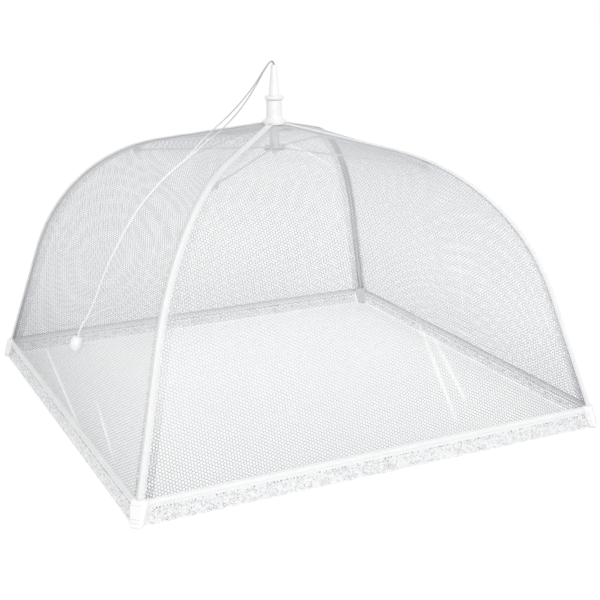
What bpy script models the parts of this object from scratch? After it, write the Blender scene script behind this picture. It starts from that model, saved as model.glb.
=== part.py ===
# Square mesh food cover that folds like an umbrella: four bent wire ribs hang from a plastic crown,
# four wire struts push them open from a runner under it, and netting panels with a lace hem cover them.
# Metres, +Z up. The origin is under the crown, on the surface that the four corner pockets stand on.
import math

import bmesh
import bpy
from mathutils import Matrix, Vector

for old in list(bpy.data.objects):
    bpy.data.objects.remove(old)

# Fits that serve the whole cover
FIT_GAP = 0.0003
CUT_OVERRUN = 0.002

# Edges that turn more than this stay sharp, on moulded pieces, on round ones and on sewn ones
MOULDED_EDGE = math.radians(35)
ROUND_EDGE = math.radians(50)
SEWN_EDGE = math.radians(40)

# The frame's line: a rib runs straight from its pivot, bends once and runs straight to the corner
BASE_SIDE = 0.430
TAPE_LEVEL = 0.017
PIVOT_HEIGHT = 0.264
PIVOT_RADIUS = 0.0095
RIB_FIRST_SLOPE = math.radians(10.4)
RIB_LAST_SLOPE = math.radians(69.3)
RIB_BEND_RADIUS = 0.193
RIB_TIP_HEIGHT = 0.003

# Wires and their flattened eyes
RIB_WIRE = 0.0020
STRUT_WIRE = 0.0018
RING_WIRE = 0.0012
EYE_WIDTH = 0.0014
EYE_WALL = 0.0007
EYE_CLEARANCE = 0.0003
RIB_BEND_STEPS = 14
WIRE_SIDES = 8
RING_ARC_STEPS = 6
EYE_SIDES = 16

# Crown, which carries the ribs on a wire ring in its groove
CROWN_UPPER_LIP_RADIUS = 0.0108
CROWN_LOWER_LIP_RADIUS = 0.0104
CROWN_UPPER_LIP_HEIGHT = 0.0038
CROWN_LOWER_LIP_HEIGHT = 0.0020
CROWN_FLARE_HEIGHT = 0.0034
COLLAR_RADIUS = 0.0075
COLLAR_HEIGHT = 0.0152
SOCKET_DEPTH = 0.0060
GROOVE_CLEARANCE = 0.0004
SLOT_CLEARANCE = 0.00035
TURNED_SIDES = 32

# Cap with the cord's nozzle, pressed into the crown's collar
CAP_FLANGE_RADIUS = 0.0090
CAP_FLANGE_EDGE = 0.0030
CAP_FLANGE_SLOPE = 0.0014
NOZZLE_BASE_RADIUS = 0.00425
NOZZLE_TIP_RADIUS = 0.0024
NOZZLE_HEIGHT = 0.0275
NOZZLE_LIP = 0.0005
SPIGOT_RADIUS = 0.0032
SPIGOT_LENGTH = 0.0052
CORD_BORE_RADIUS = 0.0017

# Runner, which carries the struts
RUNNER_DROP = 0.0218
RUNNER_PIVOT_RADIUS = 0.0088
RUNNER_RADIUS = 0.0100
RUNNER_LIP_HEIGHT = 0.0008
RUNNER_NECK_RADIUS = 0.0046
RUNNER_SLOT_INNER_RADIUS = 0.0036

# Clip and rivet that hang each strut under its rib
CLIP_RADIUS = 0.146
CLIP_DROP = 0.0039
CLIP_LENGTH = 0.0068
CLIP_WIDTH = 0.0046
CLIP_SHOULDER = 0.0001
CLIP_SEAT_CLEARANCE = 0.0004
CLIP_TOE = 0.0030
CLIP_EDGE_ROUND = 0.0004
CLIP_EDGE_STEPS = 2
ROUND_PROFILE_SHARE = 0.5
RIVET_SHANK_RADIUS = 0.0007
RIVET_HEAD_RADIUS = 0.0015
RIVET_HEAD_HEIGHT = 0.0007

# Netting, seam tape, base tape and lace, as layers outside the ribs
NET_THICKNESS = 0.0008
NET_CROWN_OPENING_RADIUS = 0.0115
NET_LOWER_EDGE = 0.0152
NET_COLUMNS = 8
NET_TOP_RING_WIDTH = 0.0065
TAPE_THICKNESS = 0.0006
SEAM_TAPE_WING = 0.0040
SEAM_TAPE_START_RADIUS = 0.0135
BASE_TAPE_HEIGHT = 0.0070
LACE_THICKNESS = 0.0005
LACE_LOWER_EDGE = 0.0005

# Corner pockets that close over the rib tips and stand on the surface
POCKET_WIDTH = 0.0160
POCKET_DEPTH = 0.0060
POCKET_SIDES = 16
# Heights up a pocket, and its width and depth there, as shares of its full height, width and depth
POCKET_HEIGHT_SHARES = (0.0, 0.12, 0.35, 0.75, 0.93, 1.0)
POCKET_WIDTH_SHARES = (0.62, 0.86, 1.0, 1.0, 0.88, 0.66)
POCKET_DEPTH_SHARES = (0.72, 0.92, 1.0, 1.0, 0.92, 0.78)
POCKET_CORNER_SHARE = 0.55

# Pull cord: two strands that leave the nozzle and lie down the left panel to a bead
STRAND_DIAMETER = 0.0012
STRAND_SPACING = 0.0015
STRAND_POINTS = 46
STRAND_ROUNDING = 2
# How far a strand's points gather toward its two ends, where it bends most
STRAND_GATHER_SHARE = 0.86
KNOT_RADIUS = 0.0023
KNOT_HEIGHT = 0.0034
KNOT_SIDES = 12
KNOT_RINGS = 8
BEAD_RADIUS = 0.0054
BEAD_LENGTH = 0.0130
BEAD_END_RADIUS = 0.0030
BEAD_STEPS = 10
BEAD_GRIP = 0.0030
# Each strand's route from the nozzle's mouth to the bead, chosen by hand
BACK_STRAND_ROUTE = (
    (0.0000, 0.00075, 0.3196), (-0.0001, 0.00075, 0.3204), (-0.0008, 0.0008, 0.3217),
    (-0.0024, 0.0008, 0.3223), (-0.0042, 0.0008, 0.3216), (-0.0062, 0.0007, 0.3195),
    (-0.0110, 0.0006, 0.3136), (-0.0200, 0.0008, 0.3015), (-0.0330, 0.0010, 0.2880),
    (-0.0470, 0.0008, 0.2762), (-0.0620, 0.0000, 0.2660), (-0.0790, -0.0040, 0.2548),
    (-0.0900, -0.0105, 0.2475), (-0.1000, -0.0150, 0.2419), (-0.1106, -0.0190, 0.2365),
    (-0.1258, -0.0245, 0.2265), (-0.1375, -0.0280, 0.2165), (-0.1493, -0.0312, 0.2040),
    (-0.1585, -0.0335, 0.1920), (-0.1674, -0.0350, 0.1780), (-0.1758, -0.0350, 0.1620),
    (-0.1833, -0.0320, 0.1440), (-0.1893, -0.0268, 0.1250), (-0.1952, -0.0218, 0.1095),
    (-0.1997, -0.0183, 0.1010), (-0.2025, -0.0170, 0.0940), (-0.2043, -0.0168, 0.0874),
)
FRONT_STRAND_ROUTE = (
    (0.0000, -0.00075, 0.3196), (-0.0001, -0.0008, 0.3206), (-0.0008, -0.0010, 0.3222),
    (-0.0025, -0.0013, 0.3231), (-0.0045, -0.0017, 0.3224), (-0.0066, -0.0021, 0.3203),
    (-0.0120, -0.0030, 0.3145), (-0.0200, -0.0042, 0.3043), (-0.0310, -0.0058, 0.2925),
    (-0.0440, -0.0075, 0.2815), (-0.0590, -0.0092, 0.2707), (-0.0760, -0.0118, 0.2592),
    (-0.0880, -0.0145, 0.2505), (-0.0990, -0.0175, 0.2430), (-0.1106, -0.0208, 0.2365),
    (-0.1258, -0.0262, 0.2265), (-0.1375, -0.0297, 0.2165), (-0.1493, -0.0329, 0.2040),
    (-0.1585, -0.0352, 0.1920), (-0.1674, -0.0367, 0.1780), (-0.1758, -0.0367, 0.1620),
    (-0.1833, -0.0337, 0.1440), (-0.1893, -0.0285, 0.1250), (-0.1952, -0.0235, 0.1095),
    (-0.1997, -0.0199, 0.1010), (-0.2025, -0.0185, 0.0940), (-0.2043, -0.0183, 0.0874),
)

# Corners and sides by name, with the angle of each about the cover's axis
CORNER_ANGLES = {
    "front_left": math.radians(225),
    "front_right": math.radians(315),
    "back_right": math.radians(45),
    "back_left": math.radians(135),
}
SIDE_ANGLES = {
    "front": math.radians(270),
    "right": math.radians(0),
    "back": math.radians(90),
    "left": math.radians(180),
}
# Angle from the middle of a side to its corner
HALF_CORNER = math.radians(45)

# Sizes that follow from the ones above
RIB_RADIUS = RIB_WIRE / 2
STRUT_RADIUS = STRUT_WIRE / 2
RING_RADIUS = RING_WIRE / 2
RING_EYE_BORE = RING_RADIUS + EYE_CLEARANCE
RING_EYE_RADIUS = RING_EYE_BORE + EYE_WALL
RIVET_EYE_BORE = RIVET_SHANK_RADIUS + EYE_CLEARANCE
RIVET_EYE_RADIUS = RIVET_EYE_BORE + EYE_WALL
GROOVE_HEIGHT = RING_WIRE + 2 * GROOVE_CLEARANCE
GROOVE_TOP = PIVOT_HEIGHT + GROOVE_HEIGHT / 2
CROWN_BOTTOM = PIVOT_HEIGHT - GROOVE_HEIGHT / 2 - CROWN_LOWER_LIP_HEIGHT
CROWN_TOP = GROOVE_TOP + CROWN_UPPER_LIP_HEIGHT + CROWN_FLARE_HEIGHT + COLLAR_HEIGHT
CAP_BOTTOM = CROWN_TOP + FIT_GAP
NOZZLE_TIP_HEIGHT = CAP_BOTTOM + CAP_FLANGE_EDGE + CAP_FLANGE_SLOPE + NOZZLE_HEIGHT
RUNNER_PIVOT_HEIGHT = PIVOT_HEIGHT - RUNNER_DROP
RUNNER_GROOVE_HEIGHT = RING_WIRE + 2 * GROOVE_CLEARANCE
RUNNER_TOP = RUNNER_PIVOT_HEIGHT + RUNNER_GROOVE_HEIGHT / 2 + RUNNER_LIP_HEIGHT
RUNNER_BOTTOM = RUNNER_PIVOT_HEIGHT - RUNNER_GROOVE_HEIGHT / 2 - RUNNER_LIP_HEIGHT
NET_INNER = RIB_RADIUS + FIT_GAP
NET_OUTER = NET_INNER + NET_THICKNESS
TAPE_INNER = NET_OUTER + FIT_GAP
TAPE_OUTER = TAPE_INNER + TAPE_THICKNESS
LACE_OUTER = TAPE_INNER + LACE_THICKNESS
BASE_TAPE_TOP = TAPE_LEVEL + BASE_TAPE_HEIGHT / 2
BASE_TAPE_BOTTOM = TAPE_LEVEL - BASE_TAPE_HEIGHT / 2
POCKET_TOP = BASE_TAPE_BOTTOM - FIT_GAP
# A seam gap, measured along a side, that leaves FIT_GAP between two panels cut on the rib's plane
SEAM_INSET = FIT_GAP / math.sqrt(2)


def rib_line():
    """The rib's pivot, the start of its bend and its corner, as (distance from the axis, height)."""
    first = Vector((math.cos(RIB_FIRST_SLOPE), -math.sin(RIB_FIRST_SLOPE)))
    last = Vector((math.cos(RIB_LAST_SLOPE), -math.sin(RIB_LAST_SLOPE)))
    pivot = Vector((PIVOT_RADIUS, PIVOT_HEIGHT))
    corner = Vector((BASE_SIDE / math.sqrt(2), TAPE_LEVEL))
    bend = RIB_BEND_RADIUS * Vector((
        math.sin(RIB_LAST_SLOPE) - math.sin(RIB_FIRST_SLOPE),
        math.cos(RIB_LAST_SLOPE) - math.cos(RIB_FIRST_SLOPE),
    ))
    left = corner - pivot - bend
    determinant = first.x * last.y - first.y * last.x
    first_length = (left.x * last.y - left.y * last.x) / determinant
    return pivot, pivot + first * first_length, corner


RIB_PIVOT, BEND_START, RIB_CORNER = rib_line()


def bend_point(slope):
    """Point of the rib's bend where it slopes down by the given angle."""
    across = math.sin(slope) - math.sin(RIB_FIRST_SLOPE)
    down = math.cos(slope) - math.cos(RIB_FIRST_SLOPE)
    return BEND_START + RIB_BEND_RADIUS * Vector((across, down))


def top_stretch(radius):
    """Station on the first straight stretch: distance from the axis, height and slope."""
    run = radius - RIB_PIVOT.x
    return radius, RIB_PIVOT.y - run * math.tan(RIB_FIRST_SLOPE), RIB_FIRST_SLOPE


def upper_station(radius):
    """Station on the first straight stretch or, past its end, on the bend."""
    if radius < BEND_START.x:
        return top_stretch(radius)
    slope = math.asin((radius - BEND_START.x) / RIB_BEND_RADIUS + math.sin(RIB_FIRST_SLOPE))
    return radius, bend_point(slope).y, slope


def low_stretch(height):
    """Station on the last straight stretch at the given height."""
    drop = RIB_CORNER.y - height
    return RIB_CORNER.x + drop / math.tan(RIB_LAST_SLOPE), height, RIB_LAST_SLOPE


def bend_stations():
    """Stations along the bend, ends included."""
    stations = []
    for step in range(RIB_BEND_STEPS + 1):
        slope = RIB_FIRST_SLOPE + (RIB_LAST_SLOPE - RIB_FIRST_SLOPE) * step / RIB_BEND_STEPS
        point = bend_point(slope)
        stations.append((point.x, point.y, slope))
    return stations


def layer_point(station, offset):
    """Point outside the ribs by offset, in the upright plane that halves a side: distance and height."""
    radius, height, slope = station
    along = Vector((math.cos(slope) / math.sqrt(2), -math.sin(slope))).normalized()
    return radius / math.sqrt(2) - offset * along.y, height + offset * along.x


# Materials, one for each real finish
def material(name, colour, roughness, metallic=0.0):
    """Principled material with a plain colour, made once and then found by name."""
    if name in bpy.data.materials:
        return bpy.data.materials[name]
    made = bpy.data.materials.new(name)
    made.use_nodes = True
    shader = made.node_tree.nodes["Principled BSDF"]
    shader.inputs["Base Color"].default_value = (*colour, 1.0)
    shader.inputs["Roughness"].default_value = roughness
    shader.inputs["Metallic"].default_value = metallic
    return made


def netting():
    return material("white_netting", (0.86, 0.87, 0.88), 0.9)


def binding():
    return material("white_binding", (0.90, 0.90, 0.90), 0.85)


def lace_cotton():
    return material("white_lace", (0.93, 0.93, 0.93), 0.8)


def white_plastic():
    return material("white_plastic", (0.88, 0.88, 0.87), 0.35)


def clip_plastic():
    return material("clip_plastic", (0.78, 0.79, 0.80), 0.45)


def spring_steel():
    return material("spring_steel", (0.48, 0.49, 0.51), 0.35, 1.0)


def rivet_steel():
    return material("rivet_steel", (0.62, 0.63, 0.65), 0.3, 1.0)


def cord_yarn():
    return material("cord_yarn", (0.90, 0.90, 0.91), 0.8)


def bead_plastic():
    return material("bead_plastic", (0.84, 0.86, 0.88), 0.2)


# Making and joining meshes
def new_mesh(name, bm):
    """Mesh from a bmesh, with its faces pointing out."""
    bmesh.ops.recalc_face_normals(bm, faces=bm.faces)
    mesh = bpy.data.meshes.new(name)
    bm.to_mesh(mesh)
    bm.free()
    return mesh


def add_object(name, mesh, finish, smooth_angle=None):
    """Object for one piece, with its own finish and, on round pieces, smooth shading."""
    piece = bpy.data.objects.new(name, mesh)
    bpy.context.scene.collection.objects.link(piece)
    mesh.materials.clear()
    mesh.materials.append(finish)
    if smooth_angle is not None:
        mesh.shade_smooth()
        mesh.set_sharp_from_angle(angle=smooth_angle)
    return piece


def cut_or_join(mesh, tool_mesh, operation):
    """Mesh left when a tool shape is cut from it or joined to it."""
    body = bpy.data.objects.new("body", mesh)
    tool = bpy.data.objects.new("tool", tool_mesh)
    for piece in (body, tool):
        bpy.context.scene.collection.objects.link(piece)
    tool.hide_render = True
    tool.display_type = "WIRE"
    boolean = body.modifiers.new("shape", "BOOLEAN")
    boolean.operation = operation
    boolean.object = tool
    bpy.context.view_layer.update()
    result = bpy.data.meshes.new_from_object(body.evaluated_get(bpy.context.evaluated_depsgraph_get()))
    for piece in (body, tool):
        bpy.data.objects.remove(piece)
    return result


def turned(name, outline):
    """Closed outline of (radius, height) points turned about +Z."""
    bm = bmesh.new()
    verts = [bm.verts.new((radius, 0, height)) for radius, height in outline]
    edges = [bm.edges.new((verts[i - 1], verts[i])) for i in range(len(verts))]
    bmesh.ops.spin(bm, geom=verts + edges, cent=(0, 0, 0), axis=(0, 0, 1), angle=math.tau,
                   steps=TURNED_SIDES, use_merge=True)
    return new_mesh(name, bm)


def wire(name, path, radius, across):
    """Round wire along a path that lies in one plane, with flat ends. across is that plane's normal."""
    bm = bmesh.new()
    rings = []
    for index, point in enumerate(path):
        before = path[max(index - 1, 0)]
        after = path[min(index + 1, len(path) - 1)]
        side = across.cross((after - before).normalized())
        ring = []
        for step in range(WIRE_SIDES):
            turn = math.tau * (step + 0.5) / WIRE_SIDES
            ring.append(bm.verts.new(point + radius * (math.cos(turn) * across + math.sin(turn) * side)))
        rings.append(ring)
    for first, second in zip(rings, rings[1:]):
        for step in range(WIRE_SIDES):
            following = (step + 1) % WIRE_SIDES
            bm.faces.new((first[step], first[following], second[following], second[step]))
    bm.faces.new(rings[0])
    bm.faces.new(rings[-1])
    return new_mesh(name, bm)


def disc_across(name, centre, radius, width):
    """Short cylinder whose axis lies along local Y."""
    bm = bmesh.new()
    place = Matrix.Translation(centre) @ Matrix.Rotation(math.radians(90), 4, "X")
    bmesh.ops.create_cone(bm, cap_ends=True, segments=EYE_SIDES, radius1=radius, radius2=radius,
                          depth=width, matrix=place)
    return new_mesh(name, bm)


def block(name, low, high):
    """Box between two corners."""
    low = Vector(low)
    high = Vector(high)
    bm = bmesh.new()
    size = high - low
    place = Matrix.Translation((low + high) / 2) @ Matrix.Diagonal((*size, 1))
    bmesh.ops.create_cube(bm, size=1, matrix=place)
    return new_mesh(name, bm)


def merged(name, meshes):
    """Several separate shapes as one mesh."""
    bm = bmesh.new()
    for mesh in meshes:
        bm.from_mesh(mesh)
    return new_mesh(name, bm)


def turned_about_axis(mesh, angle):
    """Copy of a mesh turned about the cover's axis."""
    copy = mesh.copy()
    copy.transform(Matrix.Rotation(angle, 4, "Z"))
    return copy


def placed_copies(prefix, mesh, angles, pivot, finish, smooth_angle=None):
    """One object for each named corner or side, with its origin on its pivot."""
    mesh.transform(Matrix.Translation(-pivot))
    for name, angle in angles.items():
        piece = add_object(f"{prefix}_{name}", mesh.copy(), finish, smooth_angle)
        piece.matrix_world = Matrix.Rotation(angle, 4, "Z") @ Matrix.Translation(pivot)


# Crown, cap, runner and the two wire rings
def radial_slots(inner_radius, outer_radius, half_width, low, high):
    """Four slots, one toward each corner."""
    slot = block("slot", (inner_radius, -half_width, low), (outer_radius, half_width, high))
    return merged("slots", [turned_about_axis(slot, angle) for angle in CORNER_ANGLES.values()])


def add_crown():
    groove_radius = PIVOT_RADIUS - RING_RADIUS - GROOVE_CLEARANCE
    lip_top = GROOVE_TOP + CROWN_UPPER_LIP_HEIGHT
    groove_bottom = GROOVE_TOP - GROOVE_HEIGHT
    socket_radius = SPIGOT_RADIUS + FIT_GAP
    outline = (
        (CORD_BORE_RADIUS, CROWN_BOTTOM),
        (CROWN_LOWER_LIP_RADIUS, CROWN_BOTTOM),
        (CROWN_LOWER_LIP_RADIUS, groove_bottom),
        (groove_radius, groove_bottom),
        (groove_radius, GROOVE_TOP),
        (CROWN_UPPER_LIP_RADIUS, GROOVE_TOP),
        (CROWN_UPPER_LIP_RADIUS, lip_top),
        (COLLAR_RADIUS, lip_top + CROWN_FLARE_HEIGHT),
        (COLLAR_RADIUS, CROWN_TOP),
        (socket_radius, CROWN_TOP),
        (socket_radius, CROWN_TOP - SOCKET_DEPTH),
        (CORD_BORE_RADIUS, CROWN_TOP - SOCKET_DEPTH),
    )
    slots = radial_slots(
        PIVOT_RADIUS - RING_EYE_RADIUS - SLOT_CLEARANCE,
        CROWN_UPPER_LIP_RADIUS + CUT_OVERRUN,
        max(RIB_RADIUS, EYE_WIDTH / 2) + SLOT_CLEARANCE,
        CROWN_BOTTOM - CUT_OVERRUN,
        PIVOT_HEIGHT + RING_EYE_RADIUS + SLOT_CLEARANCE,
    )
    body = cut_or_join(turned("crown", outline), slots, "DIFFERENCE")
    add_object("crown", body, white_plastic(), MOULDED_EDGE)


def add_cap():
    flange_top = CAP_BOTTOM + CAP_FLANGE_EDGE
    nozzle_base = flange_top + CAP_FLANGE_SLOPE
    outline = (
        (CORD_BORE_RADIUS, CAP_BOTTOM - SPIGOT_LENGTH),
        (SPIGOT_RADIUS, CAP_BOTTOM - SPIGOT_LENGTH),
        (SPIGOT_RADIUS, CAP_BOTTOM),
        (CAP_FLANGE_RADIUS, CAP_BOTTOM),
        (CAP_FLANGE_RADIUS, flange_top),
        (NOZZLE_BASE_RADIUS, nozzle_base),
        (NOZZLE_TIP_RADIUS, NOZZLE_TIP_HEIGHT - NOZZLE_LIP),
        (NOZZLE_TIP_RADIUS - NOZZLE_LIP / 2, NOZZLE_TIP_HEIGHT),
        (CORD_BORE_RADIUS, NOZZLE_TIP_HEIGHT),
    )
    add_object("cap", turned("cap", outline), white_plastic(), MOULDED_EDGE)


def add_runner():
    groove_radius = RUNNER_PIVOT_RADIUS - RING_RADIUS - GROOVE_CLEARANCE
    groove_low = RUNNER_PIVOT_HEIGHT - RUNNER_GROOVE_HEIGHT / 2
    groove_high = RUNNER_PIVOT_HEIGHT + RUNNER_GROOVE_HEIGHT / 2
    neck_top = CROWN_BOTTOM - FIT_GAP
    outline = (
        (CORD_BORE_RADIUS, RUNNER_BOTTOM),
        (RUNNER_RADIUS, RUNNER_BOTTOM),
        (RUNNER_RADIUS, groove_low),
        (groove_radius, groove_low),
        (groove_radius, groove_high),
        (RUNNER_RADIUS, groove_high),
        (RUNNER_RADIUS, RUNNER_TOP),
        (RUNNER_NECK_RADIUS, RUNNER_TOP),
        (RUNNER_NECK_RADIUS, neck_top),
        (CORD_BORE_RADIUS, neck_top),
    )
    slots = radial_slots(
        RUNNER_SLOT_INNER_RADIUS,
        RUNNER_RADIUS + CUT_OVERRUN,
        max(STRUT_RADIUS, EYE_WIDTH / 2) + SLOT_CLEARANCE,
        RUNNER_BOTTOM - CUT_OVERRUN,
        RUNNER_TOP + FIT_GAP,
    )
    body = cut_or_join(turned("runner", outline), slots, "DIFFERENCE")
    add_object("runner", body, white_plastic(), MOULDED_EDGE)


def add_crown_ring():
    outline = []
    for step in range(WIRE_SIDES):
        turn = math.tau * (step + 0.5) / WIRE_SIDES
        radius = PIVOT_RADIUS + RING_RADIUS * math.cos(turn)
        outline.append((radius, PIVOT_HEIGHT + RING_RADIUS * math.sin(turn)))
    add_object("crown_ring", turned("crown_ring", outline), rivet_steel(), ROUND_EDGE)


def add_runner_ring():
    """The runner's ring stops at each slot, which leaves room for the strut that swings out of it."""
    slot_half = max(STRUT_RADIUS, EYE_WIDTH / 2) + SLOT_CLEARANCE
    end = HALF_CORNER - math.asin(slot_half / RUNNER_PIVOT_RADIUS)
    path = []
    for step in range(RING_ARC_STEPS + 1):
        turn = end * (2 * step / RING_ARC_STEPS - 1)
        path.append(Vector((RUNNER_PIVOT_RADIUS * math.cos(turn), RUNNER_PIVOT_RADIUS * math.sin(turn),
                            RUNNER_PIVOT_HEIGHT)))
    arc = wire("runner_ring", path, RING_RADIUS, Vector((0, 0, 1)))
    placed_copies("runner_ring", arc, SIDE_ANGLES, Vector((0, 0, RUNNER_PIVOT_HEIGHT)), rivet_steel(),
                  ROUND_EDGE)


# Ribs, struts, clips and rivets, each modelled once along +X and copied to the four corners
def in_rib_plane(point):
    """Point of the rib's plane as a place in the corner's frame."""
    return Vector((point[0], 0, point[1]))


CLIP_STATION = upper_station(CLIP_RADIUS)
CLIP_POINT = in_rib_plane(CLIP_STATION)
CLIP_SLOPE = CLIP_STATION[2]
CLIP_PIVOT = CLIP_POINT - CLIP_DROP * Vector((math.sin(CLIP_SLOPE), 0, math.cos(CLIP_SLOPE)))
CROWN_PIVOT = Vector((PIVOT_RADIUS, 0, PIVOT_HEIGHT))
RUNNER_PIVOT = Vector((RUNNER_PIVOT_RADIUS, 0, RUNNER_PIVOT_HEIGHT))


def add_ribs():
    tip = low_stretch(RIB_TIP_HEIGHT)
    stations = [(station[0], station[1]) for station in bend_stations()] + [(tip[0], tip[1])]
    first = Vector((math.cos(RIB_FIRST_SLOPE), 0, -math.sin(RIB_FIRST_SLOPE)))
    path = [CROWN_PIVOT + first * (RING_EYE_BORE + EYE_WALL / 2)]
    path += [in_rib_plane(station) for station in stations]
    rod = wire("rib", path, RIB_RADIUS, Vector((0, 1, 0)))
    eye = disc_across("eye", CROWN_PIVOT, RING_EYE_RADIUS, EYE_WIDTH)
    bore = disc_across("bore", CROWN_PIVOT, RING_EYE_BORE, EYE_WIDTH + CUT_OVERRUN)
    rib = cut_or_join(cut_or_join(rod, eye, "UNION"), bore, "DIFFERENCE")
    placed_copies("rib", rib, CORNER_ANGLES, CROWN_PIVOT, spring_steel(), ROUND_EDGE)


def add_struts():
    along = (CLIP_PIVOT - RUNNER_PIVOT).normalized()
    inner_end = RUNNER_PIVOT + along * (RING_EYE_BORE + EYE_WALL / 2)
    outer_end = CLIP_PIVOT - along * (RIVET_EYE_BORE + EYE_WALL / 2)
    strut = wire("strut", [inner_end, outer_end], STRUT_RADIUS, Vector((0, 1, 0)))
    for centre, radius, bore_radius in (
        (RUNNER_PIVOT, RING_EYE_RADIUS, RING_EYE_BORE),
        (CLIP_PIVOT, RIVET_EYE_RADIUS, RIVET_EYE_BORE),
    ):
        eye = disc_across("eye", centre, radius, EYE_WIDTH)
        bore = disc_across("bore", centre, bore_radius, EYE_WIDTH + CUT_OVERRUN)
        strut = cut_or_join(cut_or_join(strut, eye, "UNION"), bore, "DIFFERENCE")
    placed_copies("strut", strut, CORNER_ANGLES, CLIP_PIVOT, spring_steel(), ROUND_EDGE)


def add_clips():
    """Clips are modelled with +X along the rib and +Z out of its bend, then turned to the rib."""
    half_length = CLIP_LENGTH / 2
    half_width = CLIP_WIDTH / 2
    toe = -CLIP_DROP - CLIP_TOE
    body = block("clip", (-half_length, -half_width, toe), (half_length, half_width, -CLIP_SHOULDER))
    bm = bmesh.new()
    bm.from_mesh(body)
    corners = [edge for edge in bm.edges if all(vert.co.z < -CLIP_DROP for vert in edge.verts)
               or abs(edge.verts[0].co.z - edge.verts[1].co.z) > CLIP_DROP]
    bmesh.ops.bevel(bm, geom=corners, offset=CLIP_EDGE_ROUND, segments=CLIP_EDGE_STEPS, affect="EDGES",
                    profile=ROUND_PROFILE_SHARE)
    body = new_mesh("clip", bm)
    rib_seat = wire("rib_seat", [Vector((-half_length - CUT_OVERRUN, 0, 0)),
                                 Vector((half_length + CUT_OVERRUN, 0, 0))],
                    RIB_RADIUS + CLIP_SEAT_CLEARANCE, Vector((0, 1, 0)))
    slot_half = max(STRUT_RADIUS, EYE_WIDTH / 2) + SLOT_CLEARANCE
    slot = block("slot", (-half_length - CUT_OVERRUN, -slot_half, toe - CUT_OVERRUN),
                 (half_length + CUT_OVERRUN, slot_half, -CLIP_DROP + RIVET_EYE_RADIUS + FIT_GAP))
    bore = disc_across("bore", Vector((0, 0, -CLIP_DROP)), RIVET_SHANK_RADIUS + FIT_GAP,
                       CLIP_WIDTH + CUT_OVERRUN)
    for tool in (rib_seat, slot, bore):
        body = cut_or_join(body, tool, "DIFFERENCE")
    to_rib = Matrix.Translation(CLIP_POINT) @ Matrix.Rotation(CLIP_SLOPE, 4, "Y")
    body.transform(to_rib)
    placed_copies("clip", body, CORNER_ANGLES, CROWN_PIVOT, clip_plastic(), MOULDED_EDGE)


def add_rivets():
    shank_half = CLIP_WIDTH / 2 + FIT_GAP
    rivet = disc_across("rivet", CLIP_PIVOT, RIVET_SHANK_RADIUS, 2 * shank_half + RIVET_HEAD_HEIGHT)
    for side in (1, -1):
        centre = CLIP_PIVOT + Vector((0, side * (shank_half + RIVET_HEAD_HEIGHT / 2), 0))
        head = disc_across("head", centre, RIVET_HEAD_RADIUS, RIVET_HEAD_HEIGHT)
        rivet = cut_or_join(rivet, head, "UNION")
    placed_copies("rivet", rivet, CORNER_ANGLES, CROWN_PIVOT, rivet_steel(), MOULDED_EDGE)


# Netting panels and the tapes and lace that edge them, modelled for the +X side and copied to the others
def side_pivot(end):
    """Pivot of the rib at the side's first corner, where end is -1, or at its second, where it is 1."""
    across = PIVOT_RADIUS / math.sqrt(2)
    return Vector((across, end * across, PIVOT_HEIGHT))


def shell(name, inner_rows, outer_rows):
    """Closed sheet between two grids of points with the same rows and columns."""
    bm = bmesh.new()
    grids = [[[bm.verts.new(point) for point in row] for row in rows] for rows in (inner_rows, outer_rows)]
    rows = len(inner_rows)
    columns = len(inner_rows[0])
    for grid in grids:
        for row in range(rows - 1):
            for column in range(columns - 1):
                bm.faces.new((grid[row][column], grid[row][column + 1],
                              grid[row + 1][column + 1], grid[row + 1][column]))
    inner, outer = grids
    for row in (0, rows - 1):
        for column in range(columns - 1):
            bm.faces.new((inner[row][column], inner[row][column + 1],
                          outer[row][column + 1], outer[row][column]))
    for column in (0, columns - 1):
        for row in range(rows - 1):
            bm.faces.new((inner[row][column], inner[row + 1][column],
                          outer[row + 1][column], outer[row][column]))
    return new_mesh(name, bm)


def straight_row(station, offset, inset, columns):
    """Row of points along a side, level, from one rib's plane to the other less the inset."""
    out, height = layer_point(station, offset)
    reach = out - inset
    return [Vector((out, reach * (2 * column / columns - 1), height)) for column in range(columns + 1)]


def crown_row(offset, columns):
    """Top row of a panel, on the round opening about the crown."""
    radius = NET_CROWN_OPENING_RADIUS
    end = HALF_CORNER - math.asin(SEAM_INSET / (radius * math.sqrt(2)))
    base_out, base_height = layer_point(top_stretch(radius), offset)
    fall = math.sqrt(2) * math.tan(RIB_FIRST_SLOPE)
    row = []
    for column in range(columns + 1):
        turn = end * (2 * column / columns - 1)
        out = radius * math.cos(turn)
        row.append(Vector((out, radius * math.sin(turn), base_height - (out - base_out) * fall)))
    return row


def add_net_panels():
    ring_radius = (NET_CROWN_OPENING_RADIUS + NET_TOP_RING_WIDTH) * math.sqrt(2)
    stations = [top_stretch(ring_radius)] + bend_stations() + [low_stretch(NET_LOWER_EDGE)]
    grids = []
    for offset in (NET_INNER, NET_OUTER):
        rows = [crown_row(offset, NET_COLUMNS)]
        rows += [straight_row(station, offset, SEAM_INSET, NET_COLUMNS) for station in stations]
        grids.append(rows)
    placed_copies("net_panel", shell("net_panel", *grids), SIDE_ANGLES, side_pivot(-1), netting())


def add_hems():
    layers = (
        ("base_tape", BASE_TAPE_TOP, BASE_TAPE_BOTTOM, TAPE_OUTER, SEAM_INSET, binding()),
        ("lace", BASE_TAPE_BOTTOM - FIT_GAP, LACE_LOWER_EDGE, LACE_OUTER,
         (POCKET_WIDTH / 2 + FIT_GAP) * math.sqrt(2), lace_cotton()),
    )
    for name, top, bottom, outer, inset, finish in layers:
        stations = (low_stretch(top), low_stretch(bottom))
        grids = [[straight_row(station, offset, inset, 1) for station in stations]
                 for offset in (TAPE_INNER, outer)]
        placed_copies(name, shell(name, *grids), SIDE_ANGLES, side_pivot(1), finish)


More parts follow.
